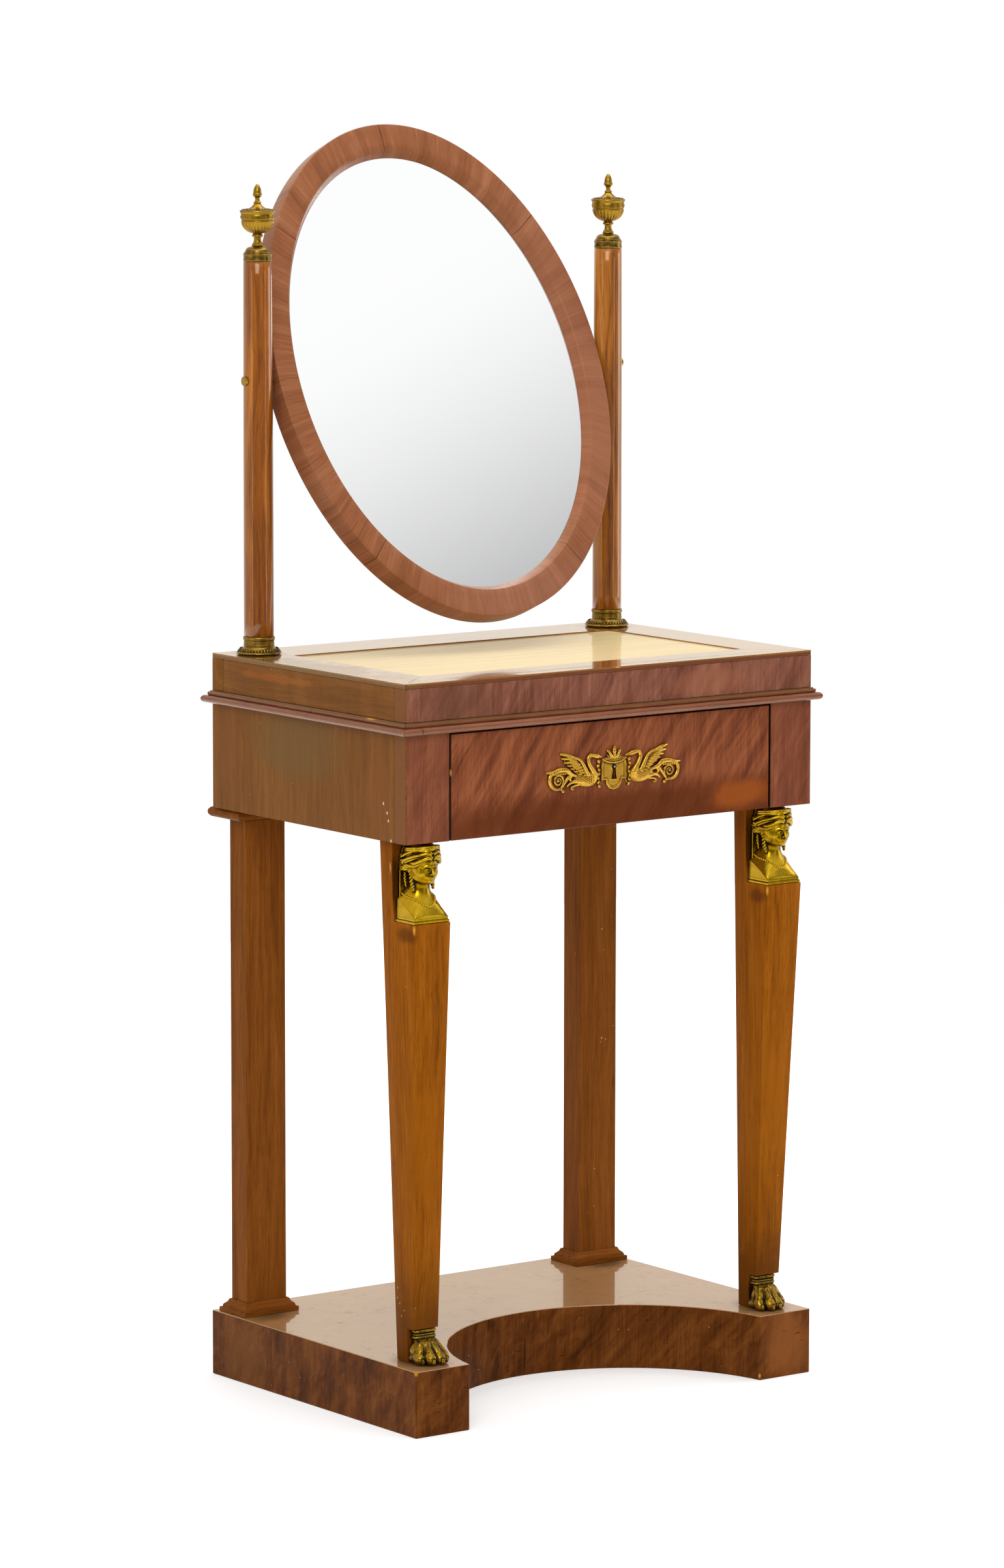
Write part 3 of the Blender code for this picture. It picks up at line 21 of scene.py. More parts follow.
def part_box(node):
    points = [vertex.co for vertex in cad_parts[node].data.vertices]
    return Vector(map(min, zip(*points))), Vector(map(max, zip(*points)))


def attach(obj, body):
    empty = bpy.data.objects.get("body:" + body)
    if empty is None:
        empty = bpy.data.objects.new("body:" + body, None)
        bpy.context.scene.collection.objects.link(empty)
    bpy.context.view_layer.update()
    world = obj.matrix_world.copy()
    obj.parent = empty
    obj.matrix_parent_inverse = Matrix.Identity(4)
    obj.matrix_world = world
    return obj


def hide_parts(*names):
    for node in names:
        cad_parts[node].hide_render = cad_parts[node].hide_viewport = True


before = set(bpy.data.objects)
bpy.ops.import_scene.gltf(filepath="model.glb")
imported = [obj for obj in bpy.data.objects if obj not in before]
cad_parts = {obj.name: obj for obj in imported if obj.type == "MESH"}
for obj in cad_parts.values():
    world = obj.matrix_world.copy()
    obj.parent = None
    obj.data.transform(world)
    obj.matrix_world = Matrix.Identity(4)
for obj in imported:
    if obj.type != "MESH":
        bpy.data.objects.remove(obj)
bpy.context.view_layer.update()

LOG = logging.getLogger("dressing_table")

Colour = tuple[float, float, float]
Place = tuple[float, float, float]
Setting = "Shade | float | int | Sequence[float] | bpy.types.Object | bpy.types.Material"

SIDES = {"left": -1, "right": 1}
BORDERS = ("front", "back", "left", "right")
MIRROR_LEAN = math.radians(22.75)
MIRROR_AXIS = (0.0, 0.13765, 1.0697)
UP = Vector((0, 0, 1))


def tone(red: int, green: int, blue: int) -> Colour:
    """The linear colour of a tone given in 8-bit screen values."""
    shares = (red / 255, green / 255, blue / 255)
    return tuple(s / 12.92 if s <= 0.04045 else ((s + 0.055) / 1.055) ** 2.4 for s in shares)


def seed_of(name: str) -> int:
    """A number that is the same in each run for the same name."""
    return sum((i + 1) * ord(letter) for i, letter in enumerate(name)) % 997


# Node graphs


def operator(operation: str, turned: bool = False) -> Callable[["Shade", Setting], "Shade"]:
    """An operator method of shades.

    Args:
        operation: What it does with its two values.
        turned: Whether the shade is the second of them.

    Returns:
        The method.
    """

    def method(shade: "Shade", other: Setting) -> "Shade":
        """The shade and the other value worked into one."""
        first, second = (other, shade) if turned else (shade, other)
        return shade.graph.combine(operation, first, second)

    return method


@dataclass
class Shade:
    """A socket of a graph that takes part in Python expressions."""

    graph: "Graph"
    socket: bpy.types.NodeSocket

    __add__ = operator("ADD")
    __radd__ = operator("ADD", True)
    __sub__ = operator("SUBTRACT")
    __rsub__ = operator("SUBTRACT", True)
    __mul__ = operator("MULTIPLY")
    __rmul__ = operator("MULTIPLY", True)
    __truediv__ = operator("DIVIDE")


@dataclass
class Graph:
    """A node tree that is written as expressions."""

    tree: bpy.types.NodeTree

    def node(
        self, kind: str, settings: dict | None = None, sockets: dict | None = None, output: int | str = 0
    ) -> Shade:
        """Add a node.

        Args:
            kind: The node's type.
            settings: Its properties, and under "stops" a ramp's places and colours; set first.
            sockets: Values or shades for its inputs, by name or number.
            output: The output that is returned.

        Returns:
            The output as a shade.
        """
        made = self.tree.nodes.new(kind)
        for name, value in (settings or {}).items():
            if name == "stops":
                self.set_stops(made.color_ramp, value)
            else:
                setattr(made, name, value)
        for name, value in (sockets or {}).items():
            self.feed(made.inputs[name], value)
        return Shade(self, made.outputs[output])

    def set_stops(self, ramp: bpy.types.ColorRamp, stops: Sequence[tuple[float, Colour]]) -> None:
        """Give a ramp its stops.

        Args:
            ramp: The ramp.
            stops: The place and colour of each stop.
        """
        while len(ramp.elements) < len(stops):
            ramp.elements.new(1.0)
        for element, (position, colour) in zip(ramp.elements, stops):
            element.position = position
            element.color = (*colour, 1.0)

    def feed(self, socket: bpy.types.NodeSocket, value: Setting) -> None:
        """Link a shade to an input, or set the input's own value.

        Args:
            socket: The input.
            value: The shade or the value.
        """
        if isinstance(value, Shade):
            self.tree.links.new(value.socket, socket)
        elif socket.type == "RGBA":
            socket.default_value = (*(value if isinstance(value, Sequence) else (value,) * 3), 1.0)
        elif socket.type == "VECTOR" and not isinstance(value, Sequence):
            socket.default_value = (value,) * 3
        else:
            socket.default_value = value

    def combine(self, operation: str, first: Setting, second: Setting) -> Shade:
        """Work with two values: colours through Mix, vectors through Vector Math, numbers through Math.

        Args:
            operation: What is done.
            first: The first value.
            second: The second one.

        Returns:
            The result.
        """
        kinds = {value.socket.type for value in (first, second) if isinstance(value, Shade)}
        if "RGBA" in kinds:
            return self.mix(first, second, 1.0, operation)
        kind = "ShaderNodeVectorMath" if "VECTOR" in kinds else "ShaderNodeMath"
        return self.node(kind, {"operation": operation}, {0: first, 1: second})

    def mix(self, first: Setting, second: Setting, share: Setting, blend: str = "MIX") -> Shade:
        """Blend two colours by a share."""
        settings = {"data_type": "RGBA", "blend_type": blend}
        return self.node("ShaderNodeMix", settings, {0: share, 6: first, 7: second}, 2)

    def maths(self, operation: str, *values: Setting) -> Shade:
        """A Math node on numbers."""
        return self.node("ShaderNodeMath", {"operation": operation}, dict(enumerate(values)))

    def clamp(self, value: Shade) -> Shade:
        """The value kept between 0 and 1."""
        return self.node("ShaderNodeClamp", None, {0: value})

    def ease(self, value: Shade, low: float, high: float, least: float = 0.0) -> Shade:
        """A smooth step of the value from the least at low to 1 at high."""
        sockets = {"Value": value, "From Min": low, "From Max": high, "To Min": least}
        return self.node("ShaderNodeMapRange", {"interpolation_type": "SMOOTHSTEP"}, sockets)

    def split(self, vector: Shade) -> tuple[Shade, Shade, Shade]:
        """The three parts of a vector."""
        made = self.node("ShaderNodeSeparateXYZ", None, {0: vector}).socket.node
        return tuple(Shade(self, made.outputs[i]) for i in range(3))

    def joined(self, x: Setting, y: Setting, z: Setting) -> Shade:
        """A vector of three parts."""
        return self.node("ShaderNodeCombineXYZ", None, {0: x, 1: y, 2: z})


class Finish(Graph):
    """The graph of one material."""

    def __init__(self, name: str) -> None:
        """Start an empty material.

        Args:
            name: Its name.
        """
        self.material = bpy.data.materials.new(name)
        self.material.use_nodes = True
        super().__init__(self.material.node_tree)
        self.tree.nodes.clear()
        self.end = self.tree.nodes.new("ShaderNodeOutputMaterial")

    def place(self) -> Shade:
        """Object coordinates, which are metres at rest."""
        return self.node("ShaderNodeTexCoord", output="Object")

    def turned(self, vector: Shade, turn: Place, shift: Place = (0, 0, 0)) -> Shade:
        """The vector turned and shifted by a Mapping node."""
        return self.node("ShaderNodeMapping", None, {"Vector": vector, "Rotation": turn, "Location": shift})

    def noise(self, vector: Shade, detail: float = 3.0, roughness: float = 0.55, output: str = "Fac") -> Shade:
        """Fractal noise with one cycle a unit of the vector."""
        sockets = {"Vector": vector, "Scale": 1.0, "Detail": detail, "Roughness": roughness}
        return self.node("ShaderNodeTexNoise", None, sockets, output)

    def cells(self, vector: Shade, output: str = "Distance") -> Shade:
        """Distance or colour of the nearest of scattered points, one a unit of the vector."""
        return self.node("ShaderNodeTexVoronoi", None, {"Vector": vector, "Scale": 1.0}, output)

    def bump(self, height: Shade, depth: float) -> Shade:
        """A normal that follows a height of 0 to 1 over a depth in metres."""
        return self.node("ShaderNodeBump", None, {"Height": height, "Distance": depth, "Strength": 1.0})

    def surface(self, **sockets: Setting) -> bpy.types.Material:
        """Close the graph with a Principled shader.

        Args:
            **sockets: Its inputs, with an underscore for each space.

        Returns:
            The material.
        """
        named = {name.replace("_", " "): value for name, value in sockets.items()}
        shader = self.node("ShaderNodeBsdfPrincipled", None, named)
        self.tree.links.new(shader.socket, self.end.inputs["Surface"])
        return self.material


# Finishes


class Grain(Enum):
    """The way a board's grain runs, as the turn that brings it to Z."""

    UPRIGHT = (0.0, 0.0, 0.0)
    ACROSS = (0.0, -math.pi / 2, 0.0)
    DEEP = (math.pi / 2, 0.0, 0.0)
    ROUND = (MIRROR_LEAN, 0.0, 0.0)
    LEANING = (MIRROR_LEAN, 0.0, math.pi)


@dataclass(frozen=True)
class Patch:
    """A board's patch of another tone: from time, light or handling, or painted shade or a painted reflection.
    """

    centre: Place
    reach: Place
    colour: Colour
    strength: float = 0.6
    ragged: float = 0.5
    dull: float = 0.0  # how much of the polish it hides
    turn: Place = (0.0, 0.0, 0.0)


@dataclass(frozen=True)
class Wood:
    """A polished veneer or a raw board."""

    dark: Colour
    middle: Colour
    light: Colour
    grain: Grain = Grain.UPRIGHT
    figure: float = 0.0  # how strongly flame bands cross the grain
    figure_turn: Place = (0.0, 0.0, 0.0)
    figure_pitch: float = 0.022
    streaks: float = 0.6
    lines: float = 0.5
    roughness: float = 0.22
    specular: float = 0.3
    coat: float = 0.0
    specks: float = 0.0
    scratches: float = 0.3
    dashes: float = 0.0
    edge: Colour = (0.30, 0.13, 0.05)
    edge_width: float = 0.0016
    wear: float = 0.5
    patches: tuple[Patch, ...] = ()
    polished_above: float | None = None  # the varnish lies above this height alone
    polished_tone: Colour = (0.47, 0.26, 0.11)
    gloss_tone: Colour = (1.0, 0.62, 0.32)

    def laid(self, graph: Finish, place: Shade, shift: Place) -> Shade:
        """The place in the board's own axes, with its grain along Z.

        Args:
            graph: The material's graph.
            place: Object coordinates.
            shift: How far the grain is shifted.

        Returns:
            The place along the grain.
        """
        if self.grain is not Grain.ROUND:
            return graph.turned(place, self.grain.value, shift)
        x, _, z = graph.split(graph.turned(place - MIRROR_AXIS, self.grain.value))
        reach = graph.maths("SQRT", x * x + z * z)
        middle_radius = 0.24
        return graph.joined(x / reach * middle_radius, z / reach * middle_radius, reach)

    def figured(self, graph: Finish, place: Shade, seed: int) -> Shade:
        """How light the wood is before any wear, from 0 to 1.

        Args:
            graph: The material's graph.
            place: Object coordinates.
            seed: The board's own number.

        Returns:
            The lightness.
        """
        shift = (seed * 0.37 % 5, seed * 0.61 % 5, seed * 0.83 % 5)
        along = self.laid(graph, place, shift)
        along = along + graph.noise(along * (9, 9, 5), 2.0, output="Color") * 0.02
        streak = graph.noise(along * (75, 75, 3.5), 5.0, 0.6)
        line = graph.noise(along * (420, 420, 13), 3.0, 0.6)
        value = 0.5 + (streak - 0.5) * (1.9 * self.streaks) + (line - 0.5) * (1.1 * self.lines)
        if self.figure:
            wander = graph.noise(place * 16.0, 2.0, output="Color") * (0.9 * self.figure_pitch)
            bands = graph.turned(place + wander, self.figure_turn, shift)
            pitch = 1 / self.figure_pitch
            broad = graph.noise(bands * (pitch, pitch, 0.11 * pitch), 3.0, 0.55)
            fine = graph.noise(bands * (4.2 * pitch, 4.2 * pitch, 0.3 * pitch), 2.0, 0.5)
            value = value + (broad - 0.5) * (2.0 * self.figure) + (fine - 0.5) * (0.7 * self.figure)
        return graph.clamp(value)

    def edge_closeness(self, graph: Finish, place: Shade, low: Place, high: Place) -> Shade:
        """1 on an edge of the box between two corners, falling to 0 the edge width away.

        Args:
            graph: The material's graph.
            place: Object coordinates.
            low: The box's lowest corner.
            high: Its highest corner.

        Returns:
            The closeness.
        """
        total: Setting = -1.0
        for part, start, end in zip(graph.split(place), low, high):
            gaps = (graph.maths("ABSOLUTE", part - start), graph.maths("ABSOLUTE", end - part))
            total = graph.clamp(1 - graph.maths("MINIMUM", *gaps) / self.edge_width) + total
        return graph.clamp(total)

    def patch_mask(self, graph: Finish, place: Shade, patch: Patch, cloud: Shade) -> Shade:
        """How much of a patch shows, with its border made ragged by the cloud.

        Args:
            graph: The material's graph.
            place: Object coordinates.
            patch: The patch.
            cloud: Noise from 0 to 1.

        Returns:
            The share of the patch.
        """
        offset = place - patch.centre
        if any(patch.turn):
            offset = graph.turned(offset, patch.turn)
        offset = offset * tuple(1 / reach for reach in patch.reach)
        distance = graph.node("ShaderNodeVectorMath", {"operation": "LENGTH"}, {0: offset}, "Value")
        return graph.ease(distance + (cloud - 0.5) * (2.4 * patch.ragged), 1.05, 0.35) * patch.strength

    def build(self, name: str, low: Place, high: Place) -> bpy.types.Material:
        """Make the material for one piece.

        Args:
            name: The material's name.
            low: The piece's lowest corner.
            high: Its highest corner.

        Returns:
            The material.
        """
        graph = Finish(name)
        place = graph.place()
        seed = seed_of(name)
        value = self.figured(graph, place, seed)
        stops = ((0.12, self.dark), (0.5, self.middle), (0.88, self.light))
        colour = graph.node("ShaderNodeValToRGB", {"stops": stops}, {0: value}, "Color")
        shift = (seed * 0.29 % 3, seed * 0.43 % 3, seed * 0.17 % 3)
        along = self.laid(graph, place, shift)
        pores = graph.ease(graph.noise(along * (1300, 1300, 50), 1.0), 0.42, 0.34)
        colour = graph.mix(colour, self.dark, pores * 0.4)
        cloud = graph.noise(place * 34.0 + shift[0], 4.0, 0.65)
        roughness = self.roughness + (cloud - 0.5) * (0.5 * self.roughness)
        height = value * 0.3 - pores * 0.2
        coat: Setting = self.coat
        if self.polished_above is not None:
            level = graph.ease(graph.split(place)[2], self.polished_above - 0.0004, self.polished_above)
            coat = level * self.coat
            colour = graph.mix(colour, self.polished_tone, level * 0.8)
        for patch in self.patches:
            mask = self.patch_mask(graph, place, patch, cloud)
            colour = graph.mix(colour, patch.colour, mask)
            if patch.dull:
                coat = coat * (1 - mask * patch.dull)
        if self.dashes:
            dash = graph.ease(graph.noise(place * (60, 520, 520) + shift[1], 1.0), 0.665, 0.72)
            dash = dash * graph.ease(graph.noise(place * 22.0 + shift[2], 2.0), 0.40, 0.56) * self.dashes
            colour = graph.mix(colour, self.dark, dash)
            coat = coat * (1 - dash * 0.8)
        if self.scratches:
            nick = graph.noise(graph.turned(place, (0.3, 0.5, 0.2)) * (900, 900, 22) + shift[1], 1.0)
            nicks = graph.ease(nick, 0.70, 0.76) * graph.ease(cloud, 0.5, 0.6)
            colour = graph.mix(colour, self.dark, nicks * self.scratches)
            roughness = roughness + nicks * 0.2
        if self.specks:
            spot = place * 150.0 + shift[2]
            chance = graph.split(graph.cells(spot, "Color"))
            dot = graph.ease(graph.cells(spot) / (chance[0] * 0.09 + 0.03), 1.15, 0.85)
            rare = 0.16 * self.specks
            seen = graph.ease(chance[1] + (cloud - 0.5), 1.0 - rare, 1.02 - rare)
            colour = graph.mix(colour, tone(214, 190, 160), dot * seen * 0.85)
        if self.wear:
            broken = graph.noise(place * 190.0 + shift[1], 3.0, 0.7)
            close = self.edge_closeness(graph, place, low, high) + (broken - 0.5) * 1.7
            worn = graph.ease(close, 1.35 - self.wear, 1.55 - self.wear)
            colour = graph.mix(colour, self.edge, worn * 0.75)
            coat = coat * (1 - worn * 0.6)
            roughness = roughness + worn * 0.2
            height = height - worn * 0.4
        return graph.surface(
            Base_Color=colour, Roughness=graph.clamp(roughness), Specular_IOR_Level=self.specular,
            Specular_Tint=self.gloss_tone, Coat_Weight=coat, Coat_Roughness=0.05,
            Normal=graph.bump(height + graph.noise(place * 28.0, 1.0) * 2.0, 0.00012),
        )


@dataclass(frozen=True)
class Metal:
    """Worked metal: painted shade and patina in its recesses, a painted highlight on its high places."""

    # The two darkest stops are painted shade in recesses, with real patina and grime; the lightest is a painted
    # highlight.
    hollow: Colour
    body: Colour
    painted_highlight: Colour
    dirt_and_shade: Colour
    roughness: float = 0.30
    patina: float = 0.6
    carved: bool = False  # the mesh says how closed in each point is, for painted shade

    def build(self, name: str) -> bpy.types.Material:
        """Make the material.

        Args:
            name: The material's name.

        Returns:
            The material.
        """
        graph = Finish(name)
        place = graph.place()
        cloud = graph.noise(place * 130.0, 4.0, 0.65)
        fine = graph.noise(place * 900.0, 3.0, 0.6)
        # Closed-in points take painted shade and patina, free points a painted highlight; the cloud adds
        # patina.
        shade_and_patina: Setting = (cloud - 0.5) * 0.5 + 0.25
        if self.carved:
            occlusion = graph.node("ShaderNodeAttribute", {"attribute_name": "hollow"}, output="Fac")
            shade_and_patina = occlusion + (cloud - 0.5) * (0.6 * self.patina)
        shade_and_patina = graph.clamp(shade_and_patina)
        stops = ((0.0, self.painted_highlight), (0.30, self.body), (0.68, self.hollow), (1.0, self.dirt_and_shade))
        colour = graph.node("ShaderNodeValToRGB", {"stops": stops}, {0: shade_and_patina}, "Color")
        spots = graph.ease(cloud + (fine - 0.5) * 0.5, 0.66, 0.78)
        dirty = graph.ease(shade_and_patina, 0.62, 0.95)
        return graph.surface(
            Base_Color=graph.mix(colour, self.hollow, spots * self.patina),
            Metallic=1 - dirty * 0.75,
            Roughness=graph.clamp(self.roughness + (fine - 0.5) * 0.18 + dirty * 0.35),
            Normal=graph.bump(fine + cloud, 0.00003),
        )


@dataclass(frozen=True)
class SilveredGlass:
    """Mirror glass with a little age in its silver."""

    colour: Colour = (0.975, 0.985, 0.98)
    age: Colour = (0.78, 0.80, 0.78)

    def build(self, name: str) -> bpy.types.Material:
        """Make the material.

        Args:
            name: The material's name.

        Returns:
            The material.
        """
        graph = Finish(name)
        thin = graph.ease(graph.noise(graph.place() * 60.0, 5.0, 0.7), 0.70, 0.86)
        colour = graph.mix(self.colour, self.age, thin * 0.5)
        return graph.surface(Base_Color=colour, Metallic=1.0, Roughness=0.012)


FLAME_FRONT = Wood(
    dark=tone(78, 38, 24), middle=tone(122, 65, 44), light=tone(154, 92, 62),
    figure=0.5, figure_turn=(0.0, math.radians(-33), 0.0), figure_pitch=0.019, streaks=0.3,
    roughness=0.28, specular=0.22, edge=tone(66, 28, 14),
)
FADED_SIDE = Wood(
    dark=tone(90, 54, 24), middle=tone(120, 74, 30), light=tone(144, 96, 44),
    streaks=0.4, lines=0.4, figure=0.22, figure_turn=(math.radians(10), 0.0, 0.0), figure_pitch=0.026,
    roughness=0.40, specular=0.10, specks=0.45, edge=tone(74, 38, 20),
)
POLISHED_TOP = Wood(
    dark=tone(112, 62, 20), middle=tone(150, 94, 34), light=tone(172, 116, 50),
    roughness=0.10, specular=0.45, coat=0.95, scratches=0.4, dashes=0.7, edge=tone(96, 50, 20),
)
PALE_INSET = Wood(
    dark=tone(204, 178, 128), middle=tone(219, 197, 150), light=tone(228, 209, 164), grain=Grain.ACROSS,
    dashes=0.25, streaks=0.5, lines=0.3, roughness=0.4, specular=0.0, coat=0.5, scratches=0.2,
    edge=tone(120, 88, 40), wear=0.3,
)
LEG_VENEER = Wood(
    dark=tone(102, 50, 6), middle=tone(142, 79, 10), light=tone(166, 98, 24),
    streaks=0.5, lines=0.7, roughness=0.40, specular=0.04, specks=0.25, edge=tone(92, 44, 12),
)
REAR_LEG_VENEER = replace(
    LEG_VENEER, dark=tone(84, 42, 12), middle=tone(122, 68, 20), light=tone(146, 86, 34), specks=0.6,
)
COLUMN_VENEER = Wood(
    dark=tone(76, 34, 2), middle=tone(137, 72, 8), light=tone(180, 106, 22),
    streaks=0.75, lines=0.6, roughness=0.20, specular=0.5, coat=0.6, wear=0.0,
)
PALER_COLUMN = replace(COLUMN_VENEER, dark=tone(92, 44, 6), middle=tone(160, 94, 24), light=tone(200, 132, 52))
FRAME_VENEER = Wood(
    dark=tone(104, 58, 34), middle=tone(138, 84, 54), light=tone(162, 108, 78), grain=Grain.ROUND,
    streaks=0.5, roughness=0.26, specular=0.25, wear=0.0,
)
PLINTH_VENEER = replace(
    FLAME_FRONT, dark=tone(58, 28, 8), middle=tone(98, 52, 18), light=tone(126, 74, 30), figure=0.65,
    figure_turn=(math.radians(-30), math.radians(-28), 0.0), roughness=0.36, specular=0.06, dashes=0.9,
    specks=0.3, scratches=0.6, coat=1.0, polished_above=0.0694, edge=tone(46, 22, 10), edge_width=0.0022,
)
MOULDING_WOOD = replace(
    FLAME_FRONT, dark=tone(70, 34, 20), middle=tone(118, 66, 42), light=tone(146, 90, 62), figure=0.15,
    roughness=0.20, specular=0.5, coat=0.3, wear=0.0,
)
RAW_OAK = Wood(
    dark=tone(138, 104, 66), middle=tone(172, 138, 94), light=tone(196, 164, 120), streaks=0.7, lines=0.9,
    roughness=0.7, scratches=0.4, grain=Grain.DEEP, edge=tone(120, 90, 56),
)
RAW_PINE = Wood(
    dark=tone(150, 108, 62), middle=tone(190, 150, 100), light=tone(208, 172, 124), streaks=0.9,
    roughness=0.75, grain=Grain.ACROSS, edge=tone(140, 104, 64),
)

GILT_BRONZE = Metal(
    hollow=tone(70, 50, 2), body=tone(137, 105, 2), painted_highlight=tone(188, 152, 32), dirt_and_shade=tone(28, 20, 8),
    roughness=0.28, carved=True,
)
WORN_BRONZE = replace(
    GILT_BRONZE, hollow=tone(46, 32, 14), body=tone(88, 66, 16), painted_highlight=tone(150, 116, 36),
    dirt_and_shade=tone(26, 20, 10), patina=1.5, roughness=0.34,
)
TARNISHED_BRONZE = replace(
    GILT_BRONZE, hollow=tone(42, 32, 14), body=tone(78, 60, 22), painted_highlight=tone(142, 112, 46),
    dirt_and_shade=tone(22, 18, 10), patina=1.5, roughness=0.32,
)
PAW_BRONZE = replace(
    GILT_BRONZE, hollow=tone(34, 30, 12), body=tone(64, 50, 18), painted_highlight=tone(142, 108, 28),
    dirt_and_shade=tone(18, 18, 8), patina=1.7,
)
MOUNT_BRONZE = replace(
    GILT_BRONZE, hollow=tone(72, 44, 8), body=tone(147, 104, 24), painted_highlight=tone(202, 156, 60),
    dirt_and_shade=tone(38, 22, 8), roughness=0.31,
)
DULL_BRASS = Metal(
    hollow=tone(92, 72, 30), body=tone(160, 130, 64), painted_highlight=tone(196, 168, 96), dirt_and_shade=tone(50, 40, 20),
)
FILED_IRON = Metal(
    hollow=tone(70, 68, 64), body=tone(128, 126, 122), painted_highlight=tone(170, 168, 164), dirt_and_shade=tone(48, 40, 32),
    roughness=0.42,
)

# Tones of the marks that the boards have
SEAM = tone(22, 10, 6)
CHIP = tone(214, 160, 60)


# CAD pieces that are kept


def dress(node: str, material: bpy.types.Material) -> None:
    """Give a CAD node a finish.

    Args:
        node: The node's name.
        material: Its material.
    """
    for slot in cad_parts[node].material_slots:
        slot.material = material
    LOG.info("dressed %s", node)


def dress_wood(node: str, wood: Wood) -> None:
    """Give a CAD node a wood finish made for its own box."""
    dress(node, wood.build(f"{node}_finish", *(tuple(corner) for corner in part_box(node))))


def run_of(border: str) -> Grain:
    """The grain of a strip on one of the four borders, which follows its length."""
    return Grain.ACROSS if border in ("front", "back") else Grain.DEEP


@dataclass
class Carcass:
    """The case, its mouldings and its top, with the marks that the boards have."""

    half_width: float = 0.265
    front: float = -0.175
    top: float = 0.781

    def build(self) -> None:
        """Dress every board of the case."""
        self.dress_front()
        self.dress_sides()
        self.dress_top()
        self.dress_mouldings()
        dress_wood("sub_top", RAW_PINE)
        for name in SIDES:
            dress_wood(f"drawer_runner_{name}", replace(RAW_PINE, grain=Grain.DEEP))

    def dress_front(self) -> None:
        """The stiles, the rail and the board above the moulding."""
        ends = tuple(
            Patch((side * self.half_width, -0.17, 0.70), (0.0009, 0.1, 0.3), tone(116, 70, 28), 0.95, 0.0)
            for side in SIDES.values()
        )
        for name, side in SIDES.items():
            gap = Patch((side * 0.2102, self.front, 0.67), (0.0011, 0.1, 0.2), SEAM, 0.95, 0.05)
            stile = replace(FLAME_FRONT, figure=0.35, specks=0.4, wear=0.6, patches=(*ends, gap))
            dress_wood(f"front_stile_{name}", stile)
        dress_wood("rail_above_drawer", FLAME_FRONT)
        light = Patch((0.13, self.front, 0.758), (0.07, 0.05, 0.02), tone(150, 92, 66), 0.5)
        dim = Patch((-0.20, self.front, 0.760), (0.06, 0.05, 0.03), tone(96, 58, 42), 0.5)
        tones = {"middle": tone(124, 74, 58), "light": tone(156, 102, 80)}
        dress_wood("upper_front", replace(FLAME_FRONT, **tones, patches=(light, dim, *ends)))

    def dress_sides(self) -> None:
        """The faded sides and the back."""
        patches = (
            Patch((-self.half_width, 0.02, 0.70), (0.05, 0.10, 0.05), tone(108, 82, 46), 0.65, 0.4),
            Patch((-self.half_width, -0.13, 0.66), (0.05, 0.03, 0.06), tone(128, 74, 36), 0.5),
            Patch((-self.half_width, 0.15, 0.68), (0.05, 0.03, 0.06), tone(126, 76, 40), 0.5),
            *(Patch((-self.half_width, y, z), (0.004, 0.0016, 0.0022), tone(226, 206, 176), 0.9)
              for y, z in ((-0.1425, 0.6459), (-0.1445, 0.638), (-0.1492, 0.6178), (-0.136, 0.655))),
        )
        glow = Patch((-self.half_width, 0.06, 0.765), (0.05, 0.08, 0.006), tone(176, 96, 34), 0.35, 0.6)
        for name in SIDES:
            dress_wood(f"case_side_{name}", replace(FADED_SIDE, patches=patches))
            dress_wood(f"upper_side_{name}", replace(FADED_SIDE, grain=Grain.DEEP, patches=(glow,)))
        for name in ("case_back", "upper_back"):
            dress_wood(name, replace(FADED_SIDE, grain=Grain.ACROSS, roughness=0.6))

    def dress_top(self) -> None:
        """The borders, whose grain follows their length, and the pale inset."""
        marks = (
            Patch((0.006, -0.1756, 0.7812), (0.0045, 0.0012, 0.0022), CHIP, 0.95, 0.4, 0.8),
            Patch((-0.25, 0.0, self.top), (0.05, 0.22, 0.01), tone(118, 88, 46), 0.8, 0.9, 0.8),
            Patch((0.0, -0.158, self.top), (0.30, 0.008, 0.01), tone(104, 70, 36), 0.7, 0.9, 0.7),
            *(Patch((side * 0.231, 0.138, self.top), (0.034, 0.034, 0.004), tone(84, 64, 26), 0.7, 0.5, 0.6)
              for side in SIDES.values()),
        )
        for name in BORDERS:
            lip = tone(104, 58, 38) if run_of(name) is Grain.ACROSS else tone(112, 72, 36)
            nosing = Patch((0, 0, 0.7776), (1, 1, 0.0031), lip, 0.95, 0.02, 1.0)
            wood = replace(POLISHED_TOP, grain=run_of(name), patches=(nosing, *marks))
            dress_wood(f"top_border_{name}", wood)
        dot = Patch((-0.063, -0.0555, 0.7805), (0.0011, 0.0014, 0.002), SEAM, 1.0, 0.0, 1.0)
        dress_wood("top_panel", replace(PALE_INSET, patches=(dot,)))

    def dress_mouldings(self) -> None:
        """The strips of moulding round the waist."""
        marks = (
            Patch((0, 0, 0.7425), (1, 1, 0.0042), tone(108, 78, 36), 0.85, 0.08),
            Patch((-0.2767, -0.1845, 0.7343), (0.004, 0.004, 0.004), CHIP, 0.8, 0.4),
            Patch((-0.250, -0.1845, 0.7325), (0.0012, 0.02, 0.0065), SEAM, 0.85, 0.3),
            Patch((-0.2745, -0.012, 0.7365), (0.02, 0.0012, 0.006), SEAM, 0.9, 0.2),
            Patch((-0.2745, -0.117, 0.7405), (0.02, 0.011, 0.0016), CHIP, 0.7),
        )
        for name in BORDERS:
            dress_wood(f"waist_moulding_{name}", replace(MOULDING_WOOD, grain=run_of(name), patches=marks))


